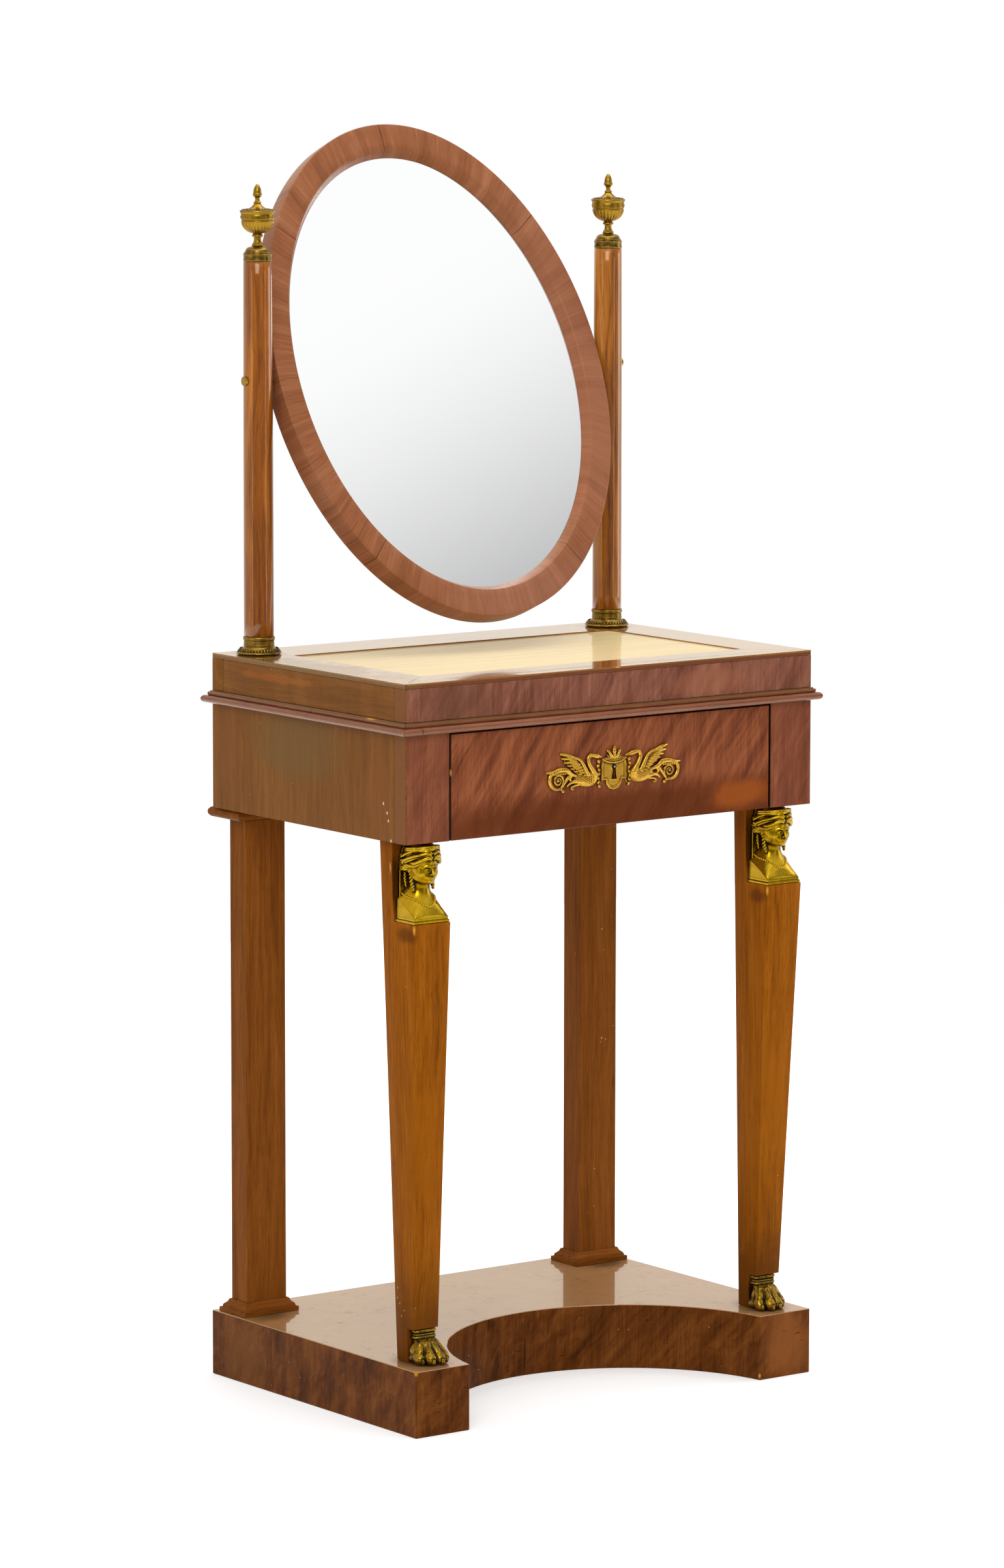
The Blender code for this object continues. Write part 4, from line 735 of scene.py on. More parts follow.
@dataclass
class Drawer:
    """The drawer with its lock."""

    seam: Colour = tone(36, 17, 9)

    def build(self) -> None:
        """Dress the drawer's boards and the lock."""
        edge, _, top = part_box("drawer_front")[1]
        patches = (
            # Painted shade: a darker band across the lower half of the drawer front.
            Patch((0.03, -0.175, 0.626), (0.44, 0.05, 0.040), tone(86, 34, 6), 0.85, 0.22),
            # Painted reflection: an orange glow low on the right of the drawer front.
            Patch((0.17, -0.175, 0.634), (0.05, 0.05, 0.02), tone(164, 82, 26), 0.6, 0.4),
            *(Patch((side * edge, -0.17, 0.67), (0.0011, 0.1, 0.2), self.seam, 0.95, 0.05)
              for side in SIDES.values()),
            Patch((0, -0.17, top), (0.5, 0.1, 0.0009), self.seam, 0.95, 0.05),
            Patch((-edge, -0.1753, 0.686), (0.0018, 0.02, 0.005), tone(206, 150, 60), 0.8),
        )
        dress_wood("drawer_front", replace(
            FLAME_FRONT, figure=0.7, figure_pitch=0.016, dark=tone(84, 38, 22), middle=tone(130, 69, 42),
            light=tone(158, 92, 56), roughness=0.24, patches=patches,
        ))
        for name in SIDES:
            dress_wood(f"drawer_side_{name}", RAW_OAK)
        for name in ("drawer_back", "drawer_bottom"):
            dress_wood(name, replace(RAW_OAK, grain=Grain.ACROSS))
        iron = FILED_IRON.build("lock_iron")
        dress("lock_case", iron)
        dress("lock_bolt", iron)
        dress("strike_plate", DULL_BRASS.build("strike_brass"))


@dataclass
class Base:
    """The plinth and the rear legs."""

    top: float = 0.0698
    front: float = -0.1868

    def build(self) -> None:
        """Dress the plinth and the legs."""
        patches = (
            Patch((-0.261, 0.13, 0.03), (0.05, 0.05, 0.06), tone(128, 78, 32), 0.4),
            Patch((0.23, -0.187, 0.035), (0.04, 0.01, 0.05), tone(140, 82, 40), 0.7, 0.2),
            *(Patch((side * 0.226, y, self.top), (0.034, reach, 0.004), tone(84, 64, 34), 0.8, 0.35, 0.75)
              for side in SIDES.values() for y, reach in ((-0.146, 0.042), (0.138, 0.040))),
            Patch((-0.261, -0.187, 0.035), (0.0012, 0.0012, 0.035), tone(24, 12, 6), 0.8, 0.3),
            Patch((-0.2622, self.front, 0.0693), (0.0045, 0.004, 0.0045), tone(230, 160, 40), 0.95, 0.3, 0.9),
            Patch((0.1919, self.front, 0.0047), (0.003, 0.003, 0.004), tone(220, 160, 70), 0.9, 0.4),
            Patch((0.0037, -0.019, 0.022), (0.0009, 0.01, 0.024), tone(20, 8, 4), 0.9, 0.15),
            Patch((-0.1431, -0.10, 0.058), (0.004, 0.004, 0.004), tone(216, 184, 130), 0.85, 0.4),
        )
        dress_wood("plinth", replace(PLINTH_VENEER, patches=patches))
        for name in SIDES:
            dress_wood(f"rear_leg_{name}", REAR_LEG_VENEER)
            for part in ("base", "cap"):
                dress_wood(f"rear_leg_{part}_{name}", replace(REAR_LEG_VENEER, grain=Grain.ACROSS, wear=0.0))


# Geometry trees


class Recipe(Graph):
    """A Geometry Nodes tree with named inputs that ends in plain mesh with its material."""

    def __init__(self, name: str, inputs: dict[str, str]) -> None:
        """Start the tree.

        Args:
            name: The tree's name.
            inputs: The type of each input besides the geometry and the material.
        """
        super().__init__(bpy.data.node_groups.new(name, "GeometryNodeTree"))
        for label, kind in {"Geometry": "Geometry", **inputs, "Material": "Material"}.items():
            self.tree.interface.new_socket(label, in_out="INPUT", socket_type=f"NodeSocket{kind}")
        self.tree.interface.new_socket("Geometry", in_out="OUTPUT", socket_type="NodeSocketGeometry")
        self.start = self.tree.nodes.new("NodeGroupInput")

    def given(self, label: str) -> Shade:
        """One of the tree's inputs."""
        return Shade(self, self.start.outputs[label])

    def close(self, geometry: Shade) -> None:
        """End the tree: instances become mesh, and the mesh gets its material.

        Args:
            geometry: The geometry that the tree has made.
        """
        real = self.node("GeometryNodeRealizeInstances", None, {0: geometry})
        smooth = self.node("GeometryNodeSetShadeSmooth", None, {"Geometry": real})
        sockets = {"Geometry": smooth, "Material": self.given("Material")}
        dressed = self.node("GeometryNodeSetMaterial", None, sockets)
        self.tree.links.new(dressed.socket, self.tree.nodes.new("NodeGroupOutput").inputs[0])

    def run(self, source: bpy.types.Mesh, **values: Setting) -> bpy.types.Mesh:
        """Run the tree on a mesh.

        Args:
            source: The mesh that goes in.
            **values: The inputs, with an underscore for each space.

        Returns:
            The finished mesh.
        """
        host = bpy.data.objects.new(self.tree.name, source)
        bpy.context.scene.collection.objects.link(host)
        modifier = host.modifiers.new(self.tree.name, "NODES")
        modifier.node_group = self.tree
        items = self.tree.interface.items_tree
        sockets = {item.name: item.identifier for item in items if item.in_out == "INPUT"}
        for label, value in values.items():
            modifier[sockets[label.replace("_", " ")]] = value
        evaluated = host.evaluated_get(bpy.context.evaluated_depsgraph_get())
        mesh = bpy.data.meshes.new_from_object(evaluated)
        host.modifiers.remove(modifier)
        bpy.data.objects.remove(host)
        return mesh


def turned_recipe() -> Recipe:
    """A tree that turns a profile (reach as X, height as Z) round a centre, with flutes if it has any.

    Returns:
        The tree.
    """
    flutes = {"Flutes": "Int", "Flute Depth": "Float", "Flute Low": "Float", "Flute High": "Float"}
    recipe = Recipe("turned_on_the_lathe", {"Steps": "Int", "Centre": "Vector", **flutes})
    profile, steps = recipe.given("Geometry"), recipe.given("Steps")
    count = recipe.node("GeometryNodeAttributeDomainSize", None, {0: profile}, "Point Count")
    size = {"Size X": 1.0, "Size Y": 1.0, "Vertices X": steps + 1, "Vertices Y": count}
    sheet = recipe.node("GeometryNodeMeshGrid", None, size)
    place = recipe.node("GeometryNodeInputPosition")
    across, up, _ = recipe.split(place)
    sockets = {"Geometry": profile, "Value": place, "Index": recipe.maths("ROUND", (up + 0.5) * (count - 1))}
    sampled = recipe.node("GeometryNodeSampleIndex", {"data_type": "FLOAT_VECTOR"}, sockets)
    reach, _, height = recipe.split(sampled)
    angle = (across + 0.5) * math.tau
    low, high = recipe.given("Flute Low"), recipe.given("Flute High")
    inside = recipe.maths("GREATER_THAN", height, low) * recipe.maths("LESS_THAN", height, high)
    wave = recipe.maths("POWER", 0.5 - 0.5 * recipe.maths("COSINE", angle * recipe.given("Flutes")), 0.6)
    swell = recipe.maths("ABSOLUTE", recipe.maths("SINE", (height - low) / (high - low) * math.pi))
    reach = reach - recipe.given("Flute Depth") * wave * inside * swell
    point = recipe.joined(reach * recipe.maths("COSINE", angle), reach * recipe.maths("SINE", angle), height)
    placed = {"Geometry": sheet, "Position": point + recipe.given("Centre")}
    moved = recipe.node("GeometryNodeSetPosition", None, placed)
    recipe.close(recipe.node("GeometryNodeMergeByDistance", None, {"Geometry": moved, "Distance": 1e-6}))
    return recipe


def laid_recipe() -> Recipe:
    """A tree that lays a copy of one small piece on each point, with that point's way, face and size.

    Returns:
        The tree.
    """
    recipe = Recipe("laid_in_rows", {"Piece": "Object"})
    piece = recipe.node("GeometryNodeObjectInfo", None, {"Object": recipe.given("Piece")}, "Geometry")
    carried, vector = "GeometryNodeInputNamedAttribute", {"data_type": "FLOAT_VECTOR"}
    names = ("way", "face", "size")
    way, face, size = (recipe.node(carried, vector, {"Name": name}, "Attribute") for name in names)
    axes = {"primary_axis": "Z", "secondary_axis": "Y"}
    turn = recipe.node("FunctionNodeAxesToRotation", axes, {0: way, 1: face})
    laid = {"Points": recipe.given("Geometry"), "Instance": piece, "Rotation": turn, "Scale": size}
    recipe.close(recipe.node("GeometryNodeInstanceOnPoints", None, laid))
    return recipe


def beaded_recipe() -> Recipe:
    """A tree that strings beads on a path, each of a slightly different size.

    Returns:
        The tree.
    """
    recipe = Recipe("strung_on_a_path", {"Count": "Int", "Radius": "Float"})
    curve = recipe.node("GeometryNodeMeshToCurve", None, {0: recipe.given("Geometry")})
    spaced = recipe.node("GeometryNodeResampleCurve", None, {"Curve": curve, "Count": recipe.given("Count")})
    bead = recipe.node("GeometryNodeMeshIcoSphere", None, {"Radius": recipe.given("Radius"), "Subdivisions": 2})
    size = recipe.node("FunctionNodeRandomValue", {"data_type": "FLOAT"}, {"Seed": 7, 2: 0.90, 3: 1.06}, 1)
    beads = {"Points": spaced, "Instance": bead, "Scale": size}
    recipe.close(recipe.node("GeometryNodeInstanceOnPoints", None, beads))
    return recipe


# Making of meshes


def to_mesh(name: str, shape: bmesh.types.BMesh, outwards: bool = True) -> bpy.types.Mesh:
    """Close a bmesh into a smooth mesh.

    Args:
        name: The mesh's name.
        shape: The bmesh, which is freed.
        outwards: Whether its faces are first turned outwards.

    Returns:
        The mesh.
    """
    if outwards:
        bmesh.ops.recalc_face_normals(shape, faces=shape.faces)
    mesh = bpy.data.meshes.new(name)
    shape.to_mesh(mesh)
    shape.free()
    mesh.shade_smooth()
    return mesh


def joined_mesh(name: str, parts: Iterable[bpy.types.Mesh], outwards: bool = False) -> bpy.types.Mesh:
    """One mesh from several, which are then removed.

    Args:
        name: The mesh's name.
        parts: The meshes.
        outwards: Whether their faces are turned outwards.

    Returns:
        The mesh.
    """
    shape = bmesh.new()
    for part in parts:
        shape.from_mesh(part)
        bpy.data.meshes.remove(part)
    return to_mesh(name, shape, outwards)


def points_mesh(points: Iterable[Place], line: bool = False) -> bpy.types.Mesh:
    """Points, or a path of edges through them, for a geometry tree to work on.

    Args:
        points: The points.
        line: Whether edges join them.

    Returns:
        The mesh.
    """
    points = [tuple(point) for point in points]
    mesh = bpy.data.meshes.new("points")
    mesh.from_pydata(points, [(i, i + 1) for i in range(len(points) - 1)] if line else [], [])
    return mesh


def mark(mesh: bpy.types.Mesh, name: str, values: Sequence[float], vector: bool = False) -> None:
    """Write a number, or a vector, for each point of a mesh."""
    made = mesh.attributes.new(name, "FLOAT_VECTOR" if vector else "FLOAT", "POINT")
    made.data.foreach_set("vector" if vector else "value", values)


def loft(rings: Sequence[Sequence[Place]], wrap: bool = False) -> bmesh.types.BMesh:
    """A shape through rings of points.

    Args:
        rings: Rings with as many points each.
        wrap: Whether the last ring joins the first; if not, both are closed by a face.

    Returns:
        The shape.
    """
    shape = bmesh.new()
    made = [[shape.verts.new(point) for point in ring] for ring in rings]
    pairs = list(zip(made, made[1:])) + ([(made[-1], made[0])] if wrap else [])
    for ring, after in pairs:
        for i, point in enumerate(ring):
            j = (i + 1) % len(ring)
            shape.faces.new((point, ring[j], after[j], after[i]))
    if not wrap:
        shape.faces.new(made[0])
        shape.faces.new(made[-1])
    return shape


def curve_through(points: Sequence[Sequence[float]], count: int) -> list[Vector]:
    """Points at even steps along a smooth curve through the given ones.

    Args:
        points: The given points.
        count: How many points the curve gets.

    Returns:
        The curve's points.
    """
    points = [Vector(point) for point in points]
    last = len(points) - 1
    made = []
    for k in range(count):
        spot = last * k / (count - 1)
        i = min(int(spot), last - 1)
        t = spot - i
        before, start, end, after = points[max(i - 1, 0)], points[i], points[i + 1], points[min(i + 2, last)]
        bend = 2 * before - 5 * start + 4 * end - after
        turn = 3 * start - before - 3 * end + after
        made.append(0.5 * (2 * start + (end - before) * t + bend * t**2 + turn * t**3))
    return made


def rounded(profile: Sequence[tuple[float, float]], steps: int, share: float) -> list[tuple[float, float]]:
    """A profile with rounded corners.

    Args:
        profile: Its points.
        steps: How many steps each corner gets.
        share: How much of its shorter arm a corner takes.

    Returns:
        The rounded profile.
    """
    points = [Vector(point) for point in profile]
    made = [points[0]]
    for before, corner, after in zip(points, points[1:], points[2:]):
        arm = share * min((before - corner).length, (after - corner).length)
        start = corner + (before - corner).normalized() * arm
        end = corner + (after - corner).normalized() * arm
        for t in (i / steps for i in range(steps + 1)):
            made.append((1 - t) ** 2 * start + 2 * t * (1 - t) * corner + t * t * end)
    return [tuple(point) for point in (*made, points[-1])]


def mark_occlusion_shade(mesh: bpy.types.Mesh, reach: float, rays: int = 14) -> None:
    """Write how closed in each point is, as painted shade for recesses, 0 on what stands free.

    Args:
        mesh: The mesh.
        reach: How far away a neighbour still counts, in metres.
        rays: How many directions are tried from each point.
    """
    shape = bmesh.new()
    shape.from_mesh(mesh)
    tree = BVHTree.FromBMesh(shape)
    shape.free()
    draw = random.Random(5)
    golden_angle = 2.39996
    fan = []
    for k in range(rays):
        rise = 1 - (k + 0.5) / rays * 0.9
        swing = golden_angle * k + draw.random() * 0.1
        flat = math.sqrt(1 - rise * rise)
        fan.append((flat * math.cos(swing), flat * math.sin(swing), rise))
    occlusion_shade = []
    for point in mesh.vertices:
        normal = point.normal
        side = normal.orthogonal().normalized()
        other = normal.cross(side)
        start = point.co + normal * (0.03 * reach)
        gaps = (tree.ray_cast(start, side * x + other * y + normal * z, reach)[3] for x, y, z in fan)
        met = sum(1 - 0.6 * gap / reach for gap in gaps if gap is not None)
        occlusion_shade.append(min(met / rays * 1.7, 1.0))
    mark(mesh, "hollow", occlusion_shade)


def add_piece(
    name: str, mesh: bpy.types.Mesh, material: bpy.types.Material, body: str, slot: str, *nodes: str
) -> None:
    """Put a finished piece in the scene, on its body.

    Args:
        name: The piece's name.
        mesh: Its mesh, in place.
        material: Its finish.
        body: The body that it rides on.
        slot: Not used.
        *nodes: The CAD nodes that it stands for.
    """
    mesh.materials.clear()
    mesh.materials.append(material)
    piece = bpy.data.objects.new(name, mesh)
    bpy.context.scene.collection.objects.link(piece)
    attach(piece, body)
    if nodes:
        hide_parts(*nodes)
    LOG.info("%s: %d faces", name, len(mesh.polygons))


@dataclass
class Spot:
    """Where one small piece of a row lies, which ways it points and faces, and its size along X, Y and Z."""

    place: Vector
    way: Vector
    face: Vector
    size: Place


def leaf_mesh(rows: int = 6, columns: int = 4) -> bpy.types.Mesh:
    """A closed leaf or feather of unit length along Z, unit width along X, raised to 1 along Y.

    Args:
        rows: Rows along it.
        columns: Columns across it.

    Returns:
        The mesh.
    """
    rings = []
    for t in (i / (rows - 1) for i in range(rows)):
        width = 0.5 * math.sin(math.pi * min(0.12 + 0.80 * t**0.8, 1.0)) ** 0.7 * (1 if t < 0.98 else 0.25)
        rise = math.sin(math.pi * (0.14 + 0.74 * t)) ** 0.5
        ring = []
        for across in (2 * k / columns - 1 for k in range(columns + 1)):
            ridge = 1 - 0.85 * abs(across) ** 1.5 - 0.18 * math.exp(-((across / 0.18) ** 2))
            ring.append((width * across, rise * max(ridge, 0.12), t))
        rings.append([*ring, (width, -0.15, t), (-width, -0.15, t)])
    mesh = to_mesh("leaf", loft(rings))
    # Painted shade: the low edges and the underside are darker.
    mark(mesh, "hollow", [0.05 + 0.75 * (1 - min(max(vert.co.y, 0), 1)) ** 1.5 for vert in mesh.vertices])
    return mesh


def pearl_mesh() -> bpy.types.Mesh:
    """A small ball of unit width round its own middle.

    Returns:
        The mesh.
    """
    shape = bmesh.new()
    bmesh.ops.create_icosphere(shape, subdivisions=2, radius=0.5)
    mesh = to_mesh("pearl", shape)
    # Painted shade: the half that faces the body it lies on is darker.
    mark(mesh, "hollow", [0.1 + 0.7 * (vert.co.y < 0) for vert in mesh.vertices])
    return mesh


class Stock:
    """The geometry trees that several pieces share."""

    def __init__(self) -> None:
        """Make them."""
        self.turned, self.laid, self.beaded = turned_recipe(), laid_recipe(), beaded_recipe()
        self.blank = bpy.data.materials.new("blank")

    def lay(self, piece: bpy.types.Mesh, spots: Sequence[Spot]) -> bpy.types.Mesh:
        """Lay copies of a small piece on spots.

        Args:
            piece: The small piece, which is removed.
            spots: Where the copies lie.

        Returns:
            The copies in one mesh.
        """
        pattern = bpy.data.objects.new("pattern", piece)
        rows = points_mesh(spot.place for spot in spots)
        for name in ("way", "face", "size"):
            mark(rows, name, [part for spot in spots for part in getattr(spot, name)], vector=True)
        mesh = self.laid.run(rows, Piece=pattern, Material=self.blank)
        bpy.data.objects.remove(pattern)
        bpy.data.meshes.remove(piece)
        return mesh

    def turn(
        self, profile: Sequence[tuple[float, float]], centre: Place, steps: int = 96, **flutes: float
    ) -> bpy.types.Mesh:
        """Turn a profile round an upright axis.

        Args:
            profile: Its points, each a reach and a height.
            centre: Where its zero lies.
            steps: How many steps the turn gets.
            **flutes: Inputs of the tree for its flutes, if it has any.

        Returns:
            The mesh.
        """
        source = points_mesh([(reach, 0, height) for reach, height in profile], line=True)
        values = {"Flutes": 0, "Flute_Depth": 0.0, "Flute_Low": 0.0, "Flute_High": 1.0, **flutes}
        mesh = self.turned.run(source, Steps=steps, Centre=centre, Material=self.blank, **values)
        return joined_mesh("turning", [mesh], outwards=True)

    def string(self, path: Sequence[Place], count: int, radius: float) -> bpy.types.Mesh:
        """String beads on a path."""
        return self.beaded.run(points_mesh(path, line=True), Count=count, Radius=radius, Material=self.blank)


# Front legs and mirror stand


@dataclass
class FrontLeg:
    """A tapering pillar with softened edges, notched for its bust and its paw."""

    side: int
    head: float = 0.6159
    shoulder: float = 0.5325  # height of the bust's seat
    shin: float = 0.1061  # height of the notch for the paw
    foot: float = 0.0701
    inner: tuple[float, float] = (0.2079, 0.2109)  # X at head and foot, as is the next
    outer: tuple[float, float] = (0.2563, 0.2416)
    back: tuple[float, float] = (-0.1172, -0.1267)  # Y at head and foot
    front: tuple[float, float] = (-0.1747, -0.1562)  # Y at shoulder and shin
    bust_seat: float = -0.1388
    paw_seat: float = -0.1453
    softness: float = 0.0005

    def across(self, ends: tuple[float, float], height: float) -> float:
        """The X of a face that tapers between two values, at a height."""
        share = (height - self.foot) / (self.head - self.foot)
        return self.side * (ends[1] + share * (ends[0] - ends[1]))

    def build(self) -> None:
        """Make and dress the leg."""
        outline = (
            (self.bust_seat, self.head), (self.bust_seat, self.shoulder), (self.front[0], self.shoulder),
            (self.front[1], self.shin), (self.paw_seat, self.shin), (self.paw_seat, self.foot),
            (self.back[1], self.foot), (self.back[0], self.head),
        )
        faces = (self.inner, self.outer)
        shape = loft([[(self.across(face, height), y, height) for y, height in outline] for face in faces])
        bmesh.ops.recalc_face_normals(shape, faces=shape.faces)
        edges = list(shape.edges)
        bmesh.ops.bevel(shape, geom=edges, offset=self.softness, segments=2, affect="EDGES", profile=0.6)
        mesh = to_mesh("front_leg", shape)
        mesh.set_sharp_from_angle(angle=math.radians(40))
        xs = sorted(self.across(face, self.head) for face in faces)
        corners = (xs[0], self.front[0], self.foot), (xs[1], self.back[0], self.head)
        name = "left" if self.side < 0 else "right"
        finish = replace(LEG_VENEER, patches=self.marks()).build(f"front_leg_finish_{name}", *corners)
        add_piece(f"pillar_{name}", mesh, finish, "root", "leg_mahogany", f"front_leg_{name}")

    def marks(self) -> tuple[Patch, ...]:
        """The chips, painted shade in the corners behind the bust and the paw, and the fleck marks.

        Returns:
            The marks.
        """
        left = min(self.across(self.outer, self.shoulder), self.across(self.inner, self.shoulder))
        outside = self.across(self.outer, 0.15)
        return (
            Patch((left, self.front[0], 0.527), (0.0022, 0.004, 0.007), tone(206, 150, 48), 0.9, 0.3),
            Patch((left, -0.160, 0.520), (0.012, 0.02, 0.011), tone(74, 38, 14)),
            Patch((self.side * 0.23, -0.17, 0.30), (0.03, 0.05, 0.10), tone(156, 88, 14), 0.5, 0.6),
            Patch((self.side * 0.226, -0.14, 0.06), (0.1, 0.1, 0.13), tone(88, 48, 12), 0.75, 0.25),
            # Painted shade in the corners behind the bust and the paw.
            Patch((left, self.bust_seat, 0.575), (0.012, 0.0022, 0.042), tone(26, 12, 4), 0.85, 0.15),
            Patch((left, self.paw_seat, 0.088), (0.012, 0.0020, 0.018), tone(20, 10, 4), 0.9, 0.1),
            Patch((-0.2563, -0.1346, 0.588), (0.003, 0.0016, 0.007), tone(190, 150, 84), 0.8, 0.4),
            *(Patch((outside, y, z), (0.003, 0.0009, 0.0012), tone(210, 176, 96), 0.9, 0.3) for y, z in (
                (-0.1294, 0.1362), (-0.1335, 0.131), (-0.1409, 0.1245), (-0.136, 0.118), (-0.1305, 0.147),
            )),
        )


def outward(count: int, shift: float = 0.0) -> list[Vector]:
    """Level directions spread evenly round an upright axis."""
    angles = (math.tau * (i + shift) / count for i in range(count))
    return [Vector((math.cos(angle), math.sin(angle), 0)) for angle in angles]


@dataclass
class Column:
    """A turned column with its gilt foot, cap and finial."""

    side: int
    stock: Stock
    centre_x: float = 0.2311
    centre_y: float = 0.13765
    foot: float = 0.7810
    height: float = 0.4138
    foot_radius: float = 0.0158
    top_radius: float = 0.0150
    flare: float = 0.0239  # radius of the collar's foot
    collar: float = 0.0190  # height of the collar
    bore: float = 0.0123
    band: float = 0.0153  # radius of the cap's band
    band_height: float = 0.0100
    dome: float = 0.0057
    bowl: float = 0.0186  # radius of the finial's rim
    finial: float = 0.0646
    gap: float = 0.0003

    @property
    def centre(self) -> Place:
        """The column's axis at the top of the case."""
        return (self.side * self.centre_x, self.centre_y, self.foot)

    def at(self, out: Vector, reach: float, height: float) -> Vector:
        """The place at a reach from the axis and a height over the foot."""
        return Vector(self.centre) + out * reach + UP * height

    def build(self) -> None:
        """Make and dress the column's pieces."""
        name = "left" if self.side < 0 else "right"
        self.add_shaft(name)
        gilt, worn = WORN_BRONZE.build(f"gilt_{name}"), TARNISHED_BRONZE.build(f"worn_gilt_{name}")
        for label, node, mesh, finish in (
            ("collar", "column_collar", self.collar_mesh(), worn), ("cap", "column_cap", self.cap_mesh(), worn),
            ("urn", "finial", self.finial_mesh(), gilt),
        ):
            # Painted shade for the recesses of the gilt pieces.
            mark_occlusion_shade(mesh, 0.004)
            add_piece(f"{label}_{name}", mesh, finish, "root", "gilt_bronze", f"{node}_{name}")
        brass = DULL_BRASS.build(f"pivot_brass_{name}")
        dress(f"pivot_pin_{name}", brass)
        dress(f"pivot_bush_{name}", brass)

    def add_shaft(self, name: str) -> None:
        """Make and dress the tapering shaft with its tenon and dowel.

        Args:
            name: Its side's name.
        """
        dowel, tenon, depth, edge = 0.006, 0.012, 0.015, 0.0005
        start, steps = self.collar + self.gap, 24
        profile = [(0.0, -depth), (dowel, -depth), (dowel, self.gap), (tenon, self.gap), (tenon, start)]
        profile += [(self.foot_radius - edge, start), (self.foot_radius, start + edge)]
        for t in (i / steps for i in range(1, steps)):
            bow = 0.00025 * math.sin(math.pi * t)
            reach = self.foot_radius + (self.top_radius - self.foot_radius) * t + bow
            profile.append((reach, start + edge + (self.height - start - 2 * edge) * t))
        profile += [(self.top_radius, self.height - edge), (self.top_radius - edge, self.height)]
        profile.append((0.0, self.height))
        mesh = self.stock.turn(profile, self.centre)
        mesh.set_sharp_from_angle(angle=math.radians(45))
        x, y, z = self.centre
        corners = (x - 0.016, y - 0.016, z), (x + 0.016, y + 0.016, z + self.height)
        finish = (COLUMN_VENEER if self.side < 0 else PALER_COLUMN).build(f"column_finish_{name}", *corners)
        add_piece(f"shaft_{name}", mesh, finish, "root", "column_mahogany", f"column_{name}")

    def collar_mesh(self) -> bpy.types.Mesh:
        """The flared gilt foot with leaves on the flare and a ribbed neck.

        Returns:
            The mesh.
        """
        shares = (
            (0.90, 0.000), (1.00, 0.050), (1.00, 0.110), (0.96, 0.150), (0.93, 0.170), (0.86, 0.230),
            (0.78, 0.300),
            (0.715, 0.370), (0.690, 0.410), (0.665, 0.430), (0.665, 0.470), (0.690, 0.490), (0.690, 0.530),
            (0.668, 0.550), (0.668, 0.780), (0.690, 0.800), (0.705, 0.830), (0.705, 0.950), (0.690, 0.990),
            (0.670, 1.000),
        )
        curve = [(self.flare * r, self.gap + (self.collar - self.gap) * h) for r, h in shares]
        ends = (self.bore, self.collar)
        profile = [ends, (self.bore, self.gap), *rounded(curve, 3, 0.3), ends]
        leaves, ribs = [], []
        for out in outward(40):
            slope = (0.78 * UP - 0.62 * out).normalized()
            foot = self.at(out, self.flare * 0.955, self.collar * 0.155)
            leaves.append(Spot(foot, slope, out * 0.78 + 0.62 * UP, (0.0031, 0.0007, 0.0052)))
            for k in range(3):
                rib = self.at(out, self.flare * 0.668, self.collar * (0.585 + 0.07 * k))
                ribs.append(Spot(rib, out.cross(UP), out, (0.0007, 0.0005, 0.0026)))
        rows = (self.stock.lay(leaf_mesh(), leaves), self.stock.lay(pearl_mesh(), ribs))
        return joined_mesh("collar", (self.stock.turn(profile, self.centre, 120), *rows))

    def cap_mesh(self) -> bpy.types.Mesh:
        """The gilt cap: a band with beads top and bottom under a stepped dome.

        Returns:
            The mesh.
        """
        low, high = self.height + self.gap, self.height + self.band_height
        top, band = high + self.dome, self.band
        profile = [
            (0.0, low), (band - 0.0006, low), (band, low + 0.0006), (band, low + 0.0016),
            (band - 0.0005, low + 0.0020), (band - 0.0005, low + 0.0060), (band, low + 0.0064),
            (band, low + 0.0074), (band - 0.0012, low + 0.0080), (band - 0.0012, high - 0.0004),
            (band - 0.0022, high), (band - 0.0024, high + 0.0008),
        ]
        neck = 0.006
        for angle in (math.pi / 2 * i / 9 for i in range(1, 9)):
            reach = neck + (band - 0.0026 - neck) * math.cos(angle)
            profile.append((reach, high + 0.0008 + (self.dome - 0.0012) * math.sin(angle)))
        profile += [(neck, top - 0.0003), (neck - 0.0002, top), (0.0, top)]
        return self.stock.turn(rounded(profile, 2, 0.2), self.centre)

